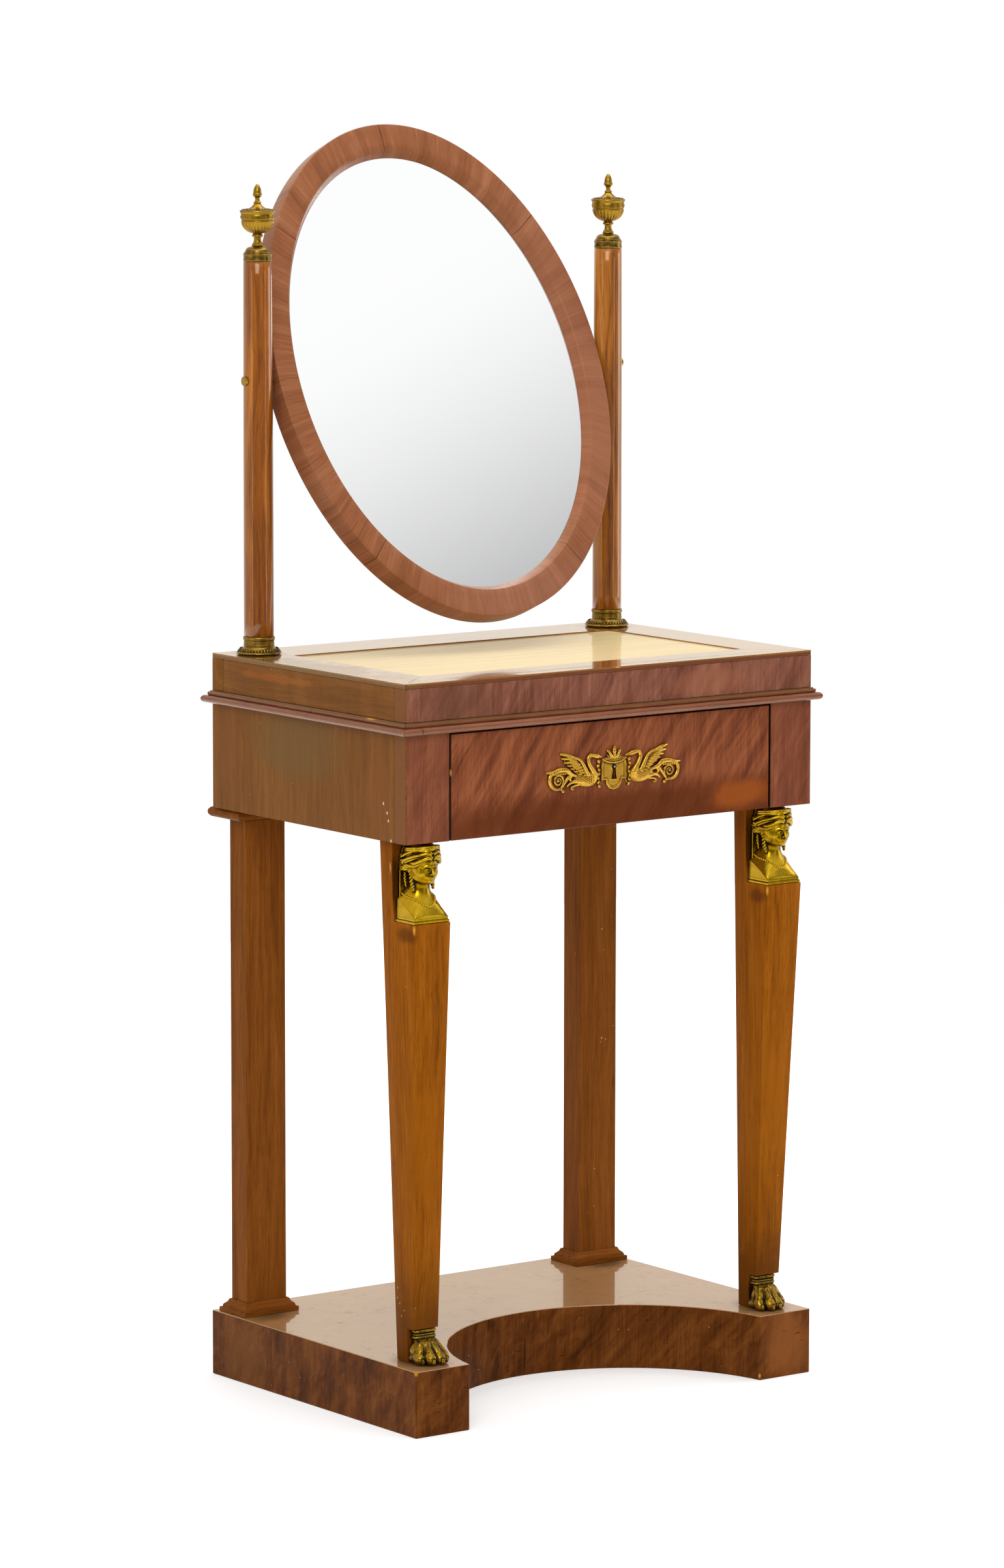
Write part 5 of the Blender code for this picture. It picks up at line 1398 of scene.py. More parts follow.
    def finial_mesh(self) -> bpy.types.Mesh:
        """The gilt urn: a foot, a fluted bowl with a beaded rim, a concave lid and an acorn.

        Returns:
            The mesh.
        """
        base = self.height + self.band_height + self.dome + self.gap
        shares = (
            (0.32, 0.000), (0.33, 0.020), (0.26, 0.045), (0.215, 0.075), (0.20, 0.110), (0.21, 0.140),
            (0.30, 0.152),
            (0.32, 0.166), (0.30, 0.180), (0.235, 0.190), (0.27, 0.200), (0.40, 0.210), (0.56, 0.232),
            (0.70, 0.262),
            (0.81, 0.300), (0.885, 0.345), (0.925, 0.395), (0.915, 0.408), (0.885, 0.413), (0.885, 0.421),
            (0.93, 0.427), (0.945, 0.440), (0.945, 0.500), (0.93, 0.515), (0.945, 0.530), (0.985, 0.545),
            (1.00, 0.560), (0.985, 0.575), (0.90, 0.580), (0.76, 0.586), (0.58, 0.598), (0.43, 0.616),
            (0.32, 0.638),
            (0.24, 0.662), (0.19, 0.682), (0.215, 0.690), (0.225, 0.699), (0.205, 0.708), (0.145, 0.722),
            (0.12, 0.745), (0.14, 0.775), (0.19, 0.795), (0.255, 0.812), (0.265, 0.835), (0.235, 0.850),
            (0.225, 0.858), (0.225, 0.885), (0.20, 0.920), (0.15, 0.955), (0.08, 0.985), (0.035, 0.997),
            (0.0, 1.000),
        )
        curve = rounded([(self.bowl * r, base + self.finial * h) for r, h in shares], 2, 0.3)
        ends = {"Flute_Low": base + self.finial * 0.196, "Flute_High": base + self.finial * 0.412}
        flutes = {"Flutes": 26, "Flute_Depth": 0.0011, **ends}
        urn = self.stock.turn([(0.0, base), *curve], self.centre, 156, **flutes)
        beads, leaves, scales = [], [], []
        for i, out in enumerate(outward(44)):
            bead = self.at(out, self.bowl * 0.935, base + self.finial * 0.470)
            beads.append(Spot(bead, UP, out, (0.0016, 0.0016, 0.0016)))
            if i % 2 == 0:
                foot = self.at(out, self.bowl * 0.90, base + self.finial * 0.582)
                leaves.append(Spot(foot, (0.18 * UP - out).normalized(), UP, (0.0030, 0.0006, 0.0060)))
        for row, (reach, height) in enumerate(((0.245, 0.815), (0.225, 0.860), (0.16, 0.905))):
            for out in outward(9, 0.5 * (row % 2)):
                scale = self.at(out, self.bowl * reach * 0.93, base + self.finial * height)
                scales.append(Spot(scale, (UP - out * 0.25).normalized(), out, (0.0026, 0.0007, 0.0030)))
        rows = ((pearl_mesh(), beads), (leaf_mesh(), leaves), (leaf_mesh(5), scales))
        return joined_mesh("finial", (urn, *(self.stock.lay(piece, spots) for piece, spots in rows)))


@dataclass
class Mirror:
    """The oval mirror with its cross-grained frame."""

    half_width: float = 0.2125
    half_height: float = 0.2782
    thickness: float = 0.0257
    side_width: float = 0.0254  # of the frame's face
    end_width: float = 0.0292
    bevel_width: float = 0.0063
    bevel_depth: float = 0.0100
    bevel_step: float = 0.0004
    edge_round: float = 0.0012
    back_round: float = 0.0008
    rebate: float = 0.0080
    glass: float = 0.0040
    glass_edge: float = 0.0010
    face: float = -0.0120  # in front of the axis
    gap: float = 0.0003
    steps: int = 240

    def leaning(self, x: float, y: float, z: float) -> Vector:
        """A place on the upright mirror, round its axis, once it leans."""
        return Matrix.Translation(MIRROR_AXIS) @ Matrix.Rotation(-MIRROR_LEAN, 4, "X") @ Vector((x, y, z))

    def oval(self, size: tuple[float, float], inset: float, depth: float) -> list[Vector]:
        """A ring of points of a leaning oval.

        Args:
            size: Half its width and half its height.
            inset: How far the ring lies inside it.
            depth: Its depth behind the axis.

        Returns:
            The points.
        """
        wide, high = size[0] - inset, size[1] - inset
        angles = (math.tau * i / self.steps for i in range(self.steps))
        return [self.leaning(wide * math.cos(a), depth, high * math.sin(a)) for a in angles]

    def build(self) -> None:
        """Make and dress the frame, the glass and the board behind it."""
        size = (self.half_width, self.half_height)
        opening = (self.half_width - self.side_width, self.half_height - self.end_width)
        sight = (opening[0] - self.bevel_width, opening[1] - self.bevel_width)
        step, back = self.face + self.bevel_depth, self.face + self.thickness
        rings = [self.oval(size, self.back_round, back), self.oval(size, 0.0, back - self.back_round)]
        for angle in (math.pi / 2 * i / 4 for i in range(5)):
            inset, lift = self.edge_round * (1 - math.cos(angle)), self.edge_round * (1 - math.sin(angle))
            rings.append(self.oval(size, inset, self.face + lift))
        for share, drop in ((0.25, 0.0), (0.5, 0.0), (0.75, 0.0), (0.975, 0.0), (1.0, self.bevel_step)):
            ring = (self.half_width - self.side_width * share, self.half_height - self.end_width * share)
            rings.append(self.oval(ring, 0.0, self.face + drop))
        for share in (0.06, 0.35, 0.65, 0.94):
            bulge = 0.0006 * math.sin(math.pi * share)
            depth = self.face + self.bevel_step + (self.bevel_depth - self.bevel_step) * share - bulge
            rings.append(self.oval(opening, self.bevel_width * share, depth))
        for inset, depth in ((0.0, step), (-self.rebate, step), (-self.rebate, back)):
            rings.append(self.oval(sight, inset, depth))
        mesh = to_mesh("mirror_frame", loft(rings, wrap=True))
        mesh.set_sharp_from_angle(angle=math.radians(32))
        corners = (tuple(corner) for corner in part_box("mirror_frame"))
        finish = self.veneer().build("mirror_frame_finish", *corners)
        add_piece("oval_frame", mesh, finish, "mirror", "frame_mahogany", "mirror_frame")

        fit, front = self.rebate - self.gap, step + self.gap
        levels = ((0.0, front + self.glass), (0.0, front + self.glass_edge), (self.glass_edge, front))
        glass = to_mesh("glass", loft([self.oval(sight, inset - fit, depth) for inset, depth in levels]))
        glass.set_sharp_from_angle(angle=math.radians(20))
        finish = SilveredGlass().build("silvered_glass")
        add_piece("silvered_plate", glass, finish, "mirror", "mirror_glass", "mirror_glass")
        dress_wood("mirror_backboard", replace(RAW_PINE, grain=Grain.LEANING, middle=tone(150, 108, 66)))

    def veneer(self) -> Wood:
        """The frame's veneer, with its paler places and the cracks at its joints.

        Returns:
            The finish.
        """
        _, y, z = MIRROR_AXIS
        marks = [
            Patch((0.20, y, z), (0.14, 0.3, 0.30), tone(152, 100, 78), 0.4, 0.2),
            Patch((0.05, y, z - 0.26), (0.20, 0.3, 0.10), tone(150, 104, 86), 0.45, 0.2),
        ]
        for angle in (math.radians(degrees) for degrees in (143, 38, 228, 305, 92)):
            reach = (self.half_width * math.cos(angle) * 0.95, self.half_height * math.sin(angle) * 0.95)
            centre = tuple(self.leaning(reach[0], self.face, reach[1]))
            turn = (MIRROR_LEAN, angle, 0)
            marks.append(Patch(centre, (0.05, 0.05, 0.0007), tone(52, 24, 12), 0.8, 0.12, turn=turn))
        return replace(FRAME_VENEER, patches=tuple(marks))


# Carved pieces


class Clay:
    """A body that is modelled as a distance field on a grid and then skinned.

    All its measures are in millimetres: X across, Y forwards from the flat back, Z up.
    """

    REACH = 4.0

    def __init__(self, low: Place, high: Place, cell: float) -> None:
        """Start with nothing.

        Args:
            low: Lowest corner of the room to model in.
            high: Its highest corner.
            cell: Size of a cell of the grid.
        """
        self.low = np.array(low, float)
        self.cell = cell
        self.turn = 1
        count = np.ceil((np.array(high) - self.low) / cell).astype(int) + 1
        self.field = np.full(tuple(count), self.REACH, np.float32)

    def both_sides(self) -> Iterator[int]:
        """Go through the sides. What is added meanwhile is mirrored across X on the left one.

        Yields:
            -1 for the left side, then 1 for the right one.
        """
        for self.turn in SIDES.values():
            yield self.turn

    def window(self, low: Sequence[float], high: Sequence[float]) -> tuple[tuple[slice, ...], list[np.ndarray]]:
        """The part of the grid round a box, and its X, Y and Z.

        Args:
            low: The box's lowest corner.
            high: Its highest corner.

        Returns:
            The slices and the three coordinates.
        """
        start = np.floor((np.array(low) - self.REACH - self.low) / self.cell).astype(int)
        stop = np.ceil((np.array(high) + self.REACH - self.low) / self.cell).astype(int) + 1
        start, stop = np.maximum(start, 0), np.minimum(stop, self.field.shape)
        steps = (np.arange(first, last, dtype=np.float32) for first, last in zip(start, stop))
        axes = [least + self.cell * step for least, step in zip(self.low, steps)]
        return tuple(slice(a, b) for a, b in zip(start, stop)), np.meshgrid(*axes, indexing="ij", sparse=True)

    def everywhere(self) -> list[np.ndarray]:
        """The whole grid's X, Y and Z."""
        return self.window(self.low, self.low + self.cell * np.array(self.field.shape))[1]

    def merge(self, part: tuple[slice, ...], distance: np.ndarray, blend: float, cut: bool = False) -> None:
        """Add a body, or cut it away, with a fillet as wide as the blend.

        Args:
            part: The window of the grid.
            distance: Distance to the body there.
            blend: Width of the fillet.
            cut: Whether it is cut away.
        """
        old = self.field[part]
        first, second = (-old, distance) if cut else (old, distance)
        joint = np.maximum(blend - np.abs(first - second), 0) / max(blend, 1e-6)
        least = np.minimum(first, second) - joint * joint * (blend * 0.25)
        self.field[part] = -least if cut else least

    def trim(self, back: float = 0.0, foot: float = -1e3, top: float = 1e3) -> None:
        """Cut away all that lies behind the back, under the foot or over the top."""
        _, y, z = self.everywhere()
        self.field = np.maximum(self.field, np.maximum(back - y, np.maximum(foot - z, z - top)))

    def ball(
        self, centre: Place, radii: float | Place, blend: float = 0.0, cut: bool = False, lean: float = 0.0
    ) -> None:
        """Add or cut a ball or an egg.

        Args:
            centre: Its middle.
            radii: Its half axes.
            blend: Width of the fillet.
            cut: Whether it is cut away.
            lean: How far its X axis is turned up, in radians.
        """
        lean = self.turn * lean
        centre = (self.turn * centre[0], centre[1], centre[2])
        radii = np.broadcast_to(np.array(radii, float), 3)
        reach = np.full(3, radii.max())
        part, grid = self.window(centre - reach, centre + reach)
        x, y, z = (axis - middle for axis, middle in zip(grid, centre))
        x, z = x * math.cos(lean) + z * math.sin(lean), z * math.cos(lean) - x * math.sin(lean)
        near = np.sqrt((x / radii[0]) ** 2 + (y / radii[1]) ** 2 + (z / radii[2]) ** 2)
        slope = np.sqrt((x / radii[0] ** 2) ** 2 + (y / radii[1] ** 2) ** 2 + (z / radii[2] ** 2) ** 2)
        self.merge(part, near * (near - 1) / np.maximum(slope, 1e-5), blend, cut)

    def limb(
        self, path: Sequence[Sequence[float]], radii: float | Sequence[float], blend: float = 0.0,
        cut: bool = False, steps: int = 0,
    ) -> None:
        """Add or cut a rounded limb along a path.

        Args:
            path: Its points.
            radii: Its radius, or the radius at each point.
            blend: Width of the fillet.
            cut: Whether it is cut away.
            steps: How many points a smooth curve through the path gets, or 0 for straight runs.
        """
        path = [(self.turn * x, y, z) for x, y, z in path]
        radii = np.broadcast_to(np.array(radii, float), len(path))
        if steps:
            radii = np.interp(np.linspace(0, 1, steps), np.linspace(0, 1, len(path)), radii)
            path = curve_through(path, steps)
        points = np.array([tuple(point) for point in path])
        part, (x, y, z) = self.window(points.min(0) - radii.max(), points.max(0) + radii.max())
        total = None
        for start, end, first, last in zip(points, points[1:], radii, radii[1:]):
            way = end - start
            along = (x - start[0]) * way[0] + (y - start[1]) * way[1] + (z - start[2]) * way[2]
            share = np.clip(along / (way @ way), 0, 1)
            gap = (x - start[0] - share * way[0]) ** 2 + (y - start[1] - share * way[1]) ** 2
            distance = np.sqrt(gap + (z - start[2] - share * way[2]) ** 2) - first - (last - first) * share
            total = distance if total is None else np.minimum(total, distance)
        self.merge(part, total, blend, cut)

    def lock(
        self, path: Sequence[Place], radii: Sequence[float], strands: int, twist: float, blend: float
    ) -> None:
        """Add a lock of twisted strands along a smooth path.

        Args:
            path: Its points.
            radii: The lock's radius at each.
            strands: How many strands it has.
            twist: How many turns they make.
            blend: Width of the fillet between strands.
        """
        count = max(16, int(10 * abs(twist) + 12))
        middle = curve_through([(self.turn * x, y, z) for x, y, z in path], count)
        radii = np.interp(np.linspace(0, 1, count), np.linspace(0, 1, len(path)), radii)
        for k in range(strands):
            made = []
            for i, point in enumerate(middle):
                along = (middle[min(i + 1, count - 1)] - middle[max(i - 1, 0)]).normalized()
                side = along.cross(Vector((0.1, 1, 0.2))).normalized()
                angle = math.tau * (k / strands + self.turn * twist * i / (count - 1))
                out = side * math.cos(angle) + along.cross(side) * math.sin(angle)
                x, y, z = point + out * (radii[i] * 0.52)
                made.append((self.turn * x, y, z))
            self.limb(made, radii * 0.54, blend)

    def outline_distance(
        self, outline: Sequence[Sequence[float]], x: np.ndarray, z: np.ndarray
    ) -> np.ndarray:
        """Distance to an outline of X and Z, negative inside it.

        Args:
            outline: Its corners.
            x: Places across.
            z: Places upwards.

        Returns:
            The distances.
        """
        points = np.array(outline, float)
        nearest = np.full(np.broadcast(x, z).shape, 1e9, np.float32)
        crossings = np.zeros(nearest.shape, bool)
        for start, end in zip(points, np.roll(points, -1, 0)):
            way = end - start
            share = np.clip(((x - start[0]) * way[0] + (z - start[1]) * way[1]) / (way @ way), 0, 1)
            gap = (x - start[0] - share * way[0]) ** 2 + (z - start[1] - share * way[1]) ** 2
            nearest = np.minimum(nearest, gap)
            if start[1] != end[1]:
                spans = (z >= min(start[1], end[1])) & (z < max(start[1], end[1]))
                crossings ^= spans & (x < start[0] + (z - start[1]) / way[1] * way[0])
        return np.where(crossings, -1, 1) * np.sqrt(nearest)

    def slab(self, outline: Sequence[Sequence[float]], thickness: float, soft: float, blend: float) -> None:
        """Add a plate with an outline of X and Z, from the back forwards.

        Args:
            outline: Its corners.
            thickness: How far forwards it goes.
            soft: Rounding of its front edge.
            blend: Width of the fillet.
        """
        points = np.array(outline, float)
        low, high = points.min(0), points.max(0)
        part, (x, y, z) = self.window((low[0], 0, low[1]), (high[0], thickness, high[1]))
        across, ahead = self.outline_distance(outline, x, z) + soft, y - thickness + soft
        corner = np.hypot(np.maximum(across, 0), np.maximum(ahead, 0))
        self.merge(part, corner + np.minimum(np.maximum(across, ahead), 0) - soft, blend)

    def skin(self, name: str, place: Place, side: int = 1) -> bpy.types.Mesh:
        """Skin the body, with painted shade for its recesses from how closed in each point is.

        Args:
            name: The mesh's name.
            place: Where the body's own zero goes, in metres.
            side: -1 to mirror it across X.

        Returns:
            The closed mesh.
        """
        field = np.pad(self.field, 1, constant_values=self.REACH)
        inside = field < 0
        shape = tuple(count - 1 for count in field.shape)
        corners = [(i, j, k) for i in (0, 1) for j in (0, 1) for k in (0, 1)]

        def at(corner: tuple[int, int, int]) -> tuple[slice, ...]:
            """The grid's values at that corner of each cell."""
            return tuple(slice(part, part + count) for part, count in zip(corner, shape))

        total = sum(inside[at(corner)].astype(np.int8) for corner in corners)
        active = (total > 0) & (total < 8)
        index = np.full(shape, -1)
        index[active] = np.arange(np.count_nonzero(active))
        cells = np.argwhere(active)
        spot, met = np.zeros((len(cells), 3)), np.zeros(len(cells))
        for first in corners:
            for axis in (axis for axis in range(3) if not first[axis]):
                second = tuple(part + (i == axis) for i, part in enumerate(first))
                start, end = field[at(first)][active], field[at(second)][active]
                crossed = (start < 0) != (end < 0)
                share = start[crossed] / (start[crossed] - end[crossed])
                step = np.array(first, float)[None, :].repeat(len(share), 0)
                step[:, axis] += share
                spot[crossed] += step
                met[crossed] += 1
        points = self.low + (cells + spot / met[:, None] - 1) * self.cell
        quads = []
        for axis in range(3):
            others = ((axis + 1) % 3, (axis + 2) % 3)
            low = [slice(1, count) for count in shape]
            high = list(low)
            low[axis], high[axis] = slice(0, shape[axis]), slice(1, shape[axis] + 1)
            first, after = inside[tuple(low)], inside[tuple(high)]
            nodes = np.argwhere(first != after)
            nodes[:, others] += 1
            out = first[first != after] ^ (side > 0)
            ring = []
            for back in ((1, 1), (0, 1), (0, 0), (1, 0)):
                cell = nodes.copy()
                cell[:, others] -= back
                ring.append(index[tuple(cell.T)])
            ring = np.stack(ring, 1)
            quads.append(np.where(out[:, None], ring, ring[:, ::-1]))

        world = points * (side * 0.001, -0.001, 0.001) + place
        mesh = bpy.data.meshes.new(name)
        mesh.from_pydata(world.tolist(), [], np.concatenate(quads).tolist())
        mark(mesh, "hollow", self.occlusion_shade(cells, points))
        mesh.shade_smooth()
        return mesh

    def occlusion_shade(self, cells: np.ndarray, points: np.ndarray) -> np.ndarray:
        """How closed in each point is, as painted shade, with more by the flat back where the piece is fixed.

        Args:
            cells: The cell of each point in the padded grid.
            points: The points.

        Returns:
            A number from 0 to 1 for each.
        """
        nearest = tuple(np.clip(cells - 1, 0, np.array(self.field.shape) - 1).T)
        slope = np.stack([np.gradient(self.field, axis=i)[nearest] for i in range(3)], 1)
        slope /= np.maximum(np.linalg.norm(slope, axis=1, keepdims=True), 1e-6)
        made = np.zeros(len(points))
        for step, weight in ((0.7, 0.30), (1.4, 0.35), (2.4, 0.35), (3.6, 0.30)):
            spots = np.rint((points + slope * step - self.low) / self.cell).astype(int)
            kept = np.all((spots >= 0) & (spots < self.field.shape), axis=1)
            gap = np.full(len(points), step)
            gap[kept] = self.field[tuple(spots[kept].T)]
            made += weight * np.clip((step - gap) / step, 0, 1)
        return np.clip(made + 0.5 * np.exp(-np.maximum(points[:, 1], 0) / 0.9), 0, 1)


def to_world(place: Place, point: Sequence[float], side: int = 1) -> Vector:
    """A point in a clay's millimetres as a place in the scene, in metres."""
    x, y, z = (part / 1000 for part in point)
    return Vector((place[0] + side * x, place[1] - y, place[2] + z))


@dataclass
class Bust:
    """A gilt herm bust with a calm, regular face, parted waves, a diadem, ringlets and beads."""

    stock: Stock
    place: Place = (0.2312, -0.1421, 0.5328)  # foot of the right one's flat back
    height: float = 83.1  # in millimetres, as are the next four
    half_width: float = 22.3
    depth: float = 32.0
    back: float = -3.0
    cell: float = 0.48

    def build(self) -> None:
        """Model the bust once and set it on both sides."""
        clay = Clay((-24, self.back - 1, -1), (24, 38, self.height + 1), self.cell)
        self.model_herm(clay)
        self.model_head(clay)
        self.model_face(clay)
        self.model_hair(clay)
        self.model_diadem(clay)
        clay.trim(self.back, 0.0, self.height)
        for name, side in SIDES.items():
            place = (side * self.place[0], self.place[1], self.place[2])
            mesh = joined_mesh("bust", [clay.skin("bust", place), self.beads(place), self.ribs(place)])
            finish = GILT_BRONZE.build(f"gilt_bust_{name}")
            add_piece(f"gilt_bust_{name}", mesh, finish, "root", "gilt_bronze", f"bust_{name}")

    def chest_level(self, x: np.ndarray | float, y: np.ndarray | float) -> np.ndarray | float:
        """Height of the chest at a place."""
        front = np.interp(y, (5, 12, 17, 21, 25, 28, 30.6, 33), (37, 35, 31.5, 27, 21.5, 15.5, 8.5, 5))
        side = np.interp(y, (-3, 8, 18, 26, 31), (24, 19.5, 14, 9, 5.5))
        return front + (side - front) * np.minimum(np.abs(x) / 21, 1.05) ** 2

    def model_herm(self, clay: Clay) -> None:
        """The two-step base, the chest with its cut sides, and the neck.

        Args:
            clay: The clay.
        """
        for inset, shorter, top, soft in ((0.0, 0.0, 2.6, 0.5), (1.1, 1.2, 5.4, 0.4)):
            width, ahead = self.half_width - inset, self.depth - shorter
            part, (x, y, z) = clay.window((-width, self.back, 0), (width, ahead, top))
            gaps = np.broadcast_arrays(np.abs(x) - width + soft, y - ahead + soft, z - top + soft)
            out = np.sqrt(sum(np.maximum(gap, 0) ** 2 for gap in gaps))
            clay.merge(part, out + np.minimum(np.maximum.reduce(gaps), 0) - soft, 0.2)
        part, (x, y, z) = clay.window((-21.5, self.back, 0), (21.5, 31, 40))
        bell = (z - self.chest_level(x, y)) * 0.62
        walls = np.maximum(np.abs(x) - 21.2 + 0.02 * z, y - 30.6)
        clay.merge(part, np.maximum(np.maximum(bell, walls), 4 - z), 0.5)
        clay.limb([(0, 6, 24), (0, 7.6, 34), (0, 10.6, 48)], (11.8, 10.9, 10.6), 6.0)

    def model_head(self, clay: Clay) -> None:
        """The plain egg of the head with cheeks, jaw and chin.

        Args:
            clay: The clay.
        """
        clay.ball((0, 14.5, 63.0), (14.4, 17.0, 17.5), 2.0)
        clay.ball((0, 18.6, 54.0), (12.6, 12.4, 13.4), 3.5)
        clay.ball((0, 21.8, 62.5), (12.0, 10.0, 9.0), 3.0)
        clay.ball((0, 27.0, 43.9), (4.4, 3.9, 3.8), 3.2)
        for _ in clay.both_sides():
            clay.ball((6.4, 23.6, 51.0), (5.2, 4.8, 5.4), 3.6)
            clay.limb([(4, 25, 43.6), (9.6, 17, 46.6), (11.8, 9, 54)], (2.6, 2.8, 3.0), 4.0, steps=8)

    def model_face(self, clay: Clay) -> None:
        """Brows, eyes, a straight nose and a closed mouth, on thirds of the face's height.

        Args:
            clay: The clay.
        """
        clay.limb([(0, 31.6, 58.8), (0, 33.1, 53.8), (0, 34.2, 51.0)], (1.2, 1.3, 1.6), 1.8)
        for _ in clay.both_sides():
            clay.ball((5.2, 32.9, 55.4), (3.2, 2.5, 1.9), 1.8, cut=True)
            clay.limb([(1.8, 31.9, 58.3), (5.4, 31.4, 59.2), (9.6, 28.2, 57.8)], (0.7, 0.8, 0.4), 1.8)
            clay.ball((5.2, 28.8, 55.3), (2.5, 2.4, 2.0), 0.5)
            lid = [(2.7, 30.6, 55.3), (5.0, 31.6, 56.3), (8.0, 29.6, 55.1)]
            clay.limb(lid, (0.4, 0.7, 0.4), 0.5, steps=9)
            clay.ball((3.9, 28.4, 47.8), (2.8, 2.5, 2.8), 2.4)
            lower = [(2.9, 30.4, 54.8), (5.1, 31.0, 53.9), (7.8, 29.3, 54.8)]
            clay.limb(lower, (0.25, 0.34, 0.25), 0.5, steps=9)
            clay.ball((1.8, 32.2, 50.4), (1.1, 1.4, 1.1), 1.0)
            clay.ball((0.9, 33.5, 49.4), (0.45, 0.7, 0.4), 0.3, cut=True)
        clay.ball((0, 30.1, 48.2), (3.0, 1.7, 1.8), 1.6)
        upper = [(-3.4, 30.2, 46.9), (-1.2, 31.7, 47.5), (0, 31.6, 47.2), (1.2, 31.7, 47.5), (3.4, 30.2, 46.9)]
        clay.limb(upper, (0.4, 0.8, 0.75, 0.8, 0.4), 1.0, steps=17)
        clay.limb([(-2.8, 30.2, 46.2), (0, 31.4, 45.7), (2.8, 30.2, 46.2)], (0.5, 1.0, 0.5), 1.0, steps=11)
        clay.limb([(-3.2, 30.9, 46.8), (0, 32.6, 46.65), (3.2, 30.9, 46.8)], 0.26, 0.25, cut=True, steps=11)

    def model_hair(self, clay: Clay) -> None:
        """Waves from a middle parting, rolls at the ears, ringlets, and the veil's edge.

        Args:
            clay: The clay.
        """
        clay.ball((0, 12, 64), (15.4, 13, 16.3), 1.0)
        clay.ball((0, 15, 74.5), (13.4, 15.5, 10), 1.0)
        locks = (
            (((1.6, 32.6, 67.0), (5.2, 32.6, 68.6), (10.0, 29.2, 66.2), (14.2, 22.0, 61.0), (17.0, 12, 58.8),
              (17.0, 3, 57.6)), (2.2, 3.4, 3.7, 3.3, 3.1, 2.4), 3, 0.75, 0.35),
            (((1.5, 32.4, 71.4), (6.0, 31.2, 73.0), (12.2, 25.6, 70.4), (16.2, 16.6, 66.6), (17.8, 8, 63.0),
              (17.4, 0, 62.0)), (2.2, 3.2, 3.4, 3.2, 3.1, 2.4), 3, 0.75, 0.35),
            (((1.2, 29.6, 74.6), (7.0, 27.4, 76.0), (13.0, 21, 74.0), (16.6, 13, 71.0), (17.4, 4, 68.0),
              (17.0, -1, 67.4)), (1.8, 2.6, 2.9, 2.9, 2.7, 2.2), 3, 0.75, 0.35),
            (((15.6, 13, 58.0), (16.6, 6, 55.5), (16.0, -2, 56.5)), (2.6, 3.0, 2.4), 3, 0.7, 0.3),
            (((12.6, 12.5, 53), (12.9, 13.6, 48), (12.9, 14.2, 42), (12.5, 15.6, 37), (12.4, 16.6, 33)),
             (1.9, 2.3, 2.3, 2.1, 1.3), 2, 3.2, 0.2),
            (((15.4, 6, 51), (16.0, 7.0, 44), (15.6, 8.0, 36.5)), (1.4, 1.5, 1.0), 2, 2.5, 0.2),
        )
        waves = 3
        for _ in clay.both_sides():
            for lock in locks[:waves]:
                clay.lock(*lock)
            clay.ball((13.6, 6, 57.0), (4.0, 8.5, 5.5), 1.2)
            for lock in locks[waves:]:
                clay.lock(*lock)
            part, (x, y, z) = clay.window((-20, self.back, 25), (20, 3, 80))
            veil = np.abs(x) - np.interp(z, (26, 50, 66, 80), (18.6, 18.2, 17, 13))
            clay.merge(part, np.maximum(np.maximum(veil, y - 0.8), np.abs(z - 52) - 27.5), 0.6)
            edge = [(18.4, 1.2, 26), (18.2, 1.2, 50), (17.0, 1.2, 66), (13.0, 1.4, 80)]
            clay.limb(edge, 0.85, 0.3, steps=12)
        clay.limb([(0, 33.8, 66.0), (0, 31.8, 71), (0, 30, 76)], 0.5, 0.5, cut=True)

    def model_diadem(self, clay: Clay) -> None:
        """A band that rises to the front, with a palmette in the middle.

        Args:
            clay: The clay.
        """
        for inset, rise, radius in ((1.3, 0.0, 1.8), (0.2, 2.0, 0.75), (0.2, -2.0, 0.75)):
            path = [self.band(math.radians(degrees), inset, rise) for degrees in range(-118, 119, 6)]
            clay.limb(path, radius, 0.2)
        clay.ball((0, 32.6, 77.2), (3.4, 1.5, 2.3), 0.6)

    def band(self, angle: float, inset: float = 0.2, rise: float = 0.0) -> Place:
        """A point of the diadem, by the angle from straight ahead."""
        ahead = math.cos(angle)
        return ((18.0 - inset) * math.sin(angle), 13.6 + (19.2 - inset) * ahead, 75.3 + 2.0 * ahead + rise)

    def ribs(self, place: Place) -> bpy.types.Mesh:
        """The small ribs on the diadem.

        Args:
            place: Foot of the bust's flat back.

        Returns:
            The mesh.
        """
        spots = []
        for angle in (math.radians(degrees) for degrees in range(-104, 105, 7)):
            out = Vector((math.sin(angle), -math.cos(angle), 0))
            spots.append(Spot(to_world(place, self.band(angle)), UP, out, (0.0013, 0.0014, 0.0029)))
        return self.stock.lay(pearl_mesh(), spots)

    def beads(self, place: Place) -> bpy.types.Mesh:
        """The string of beads in a U on the chest.

        Args:
            place: Foot of the bust's flat back.

        Returns:
            The mesh.
        """
        path = []
        for angle in (math.radians(degrees) for degrees in range(-100, 101, 5)):
            x, y = 16.2 * math.sin(angle), 5.0 + 22.6 * math.cos(angle)
            path.append(to_world(place, (x, y, float(self.chest_level(x, y)) + 0.5)))
        return self.stock.string(path, 31, 0.00136)


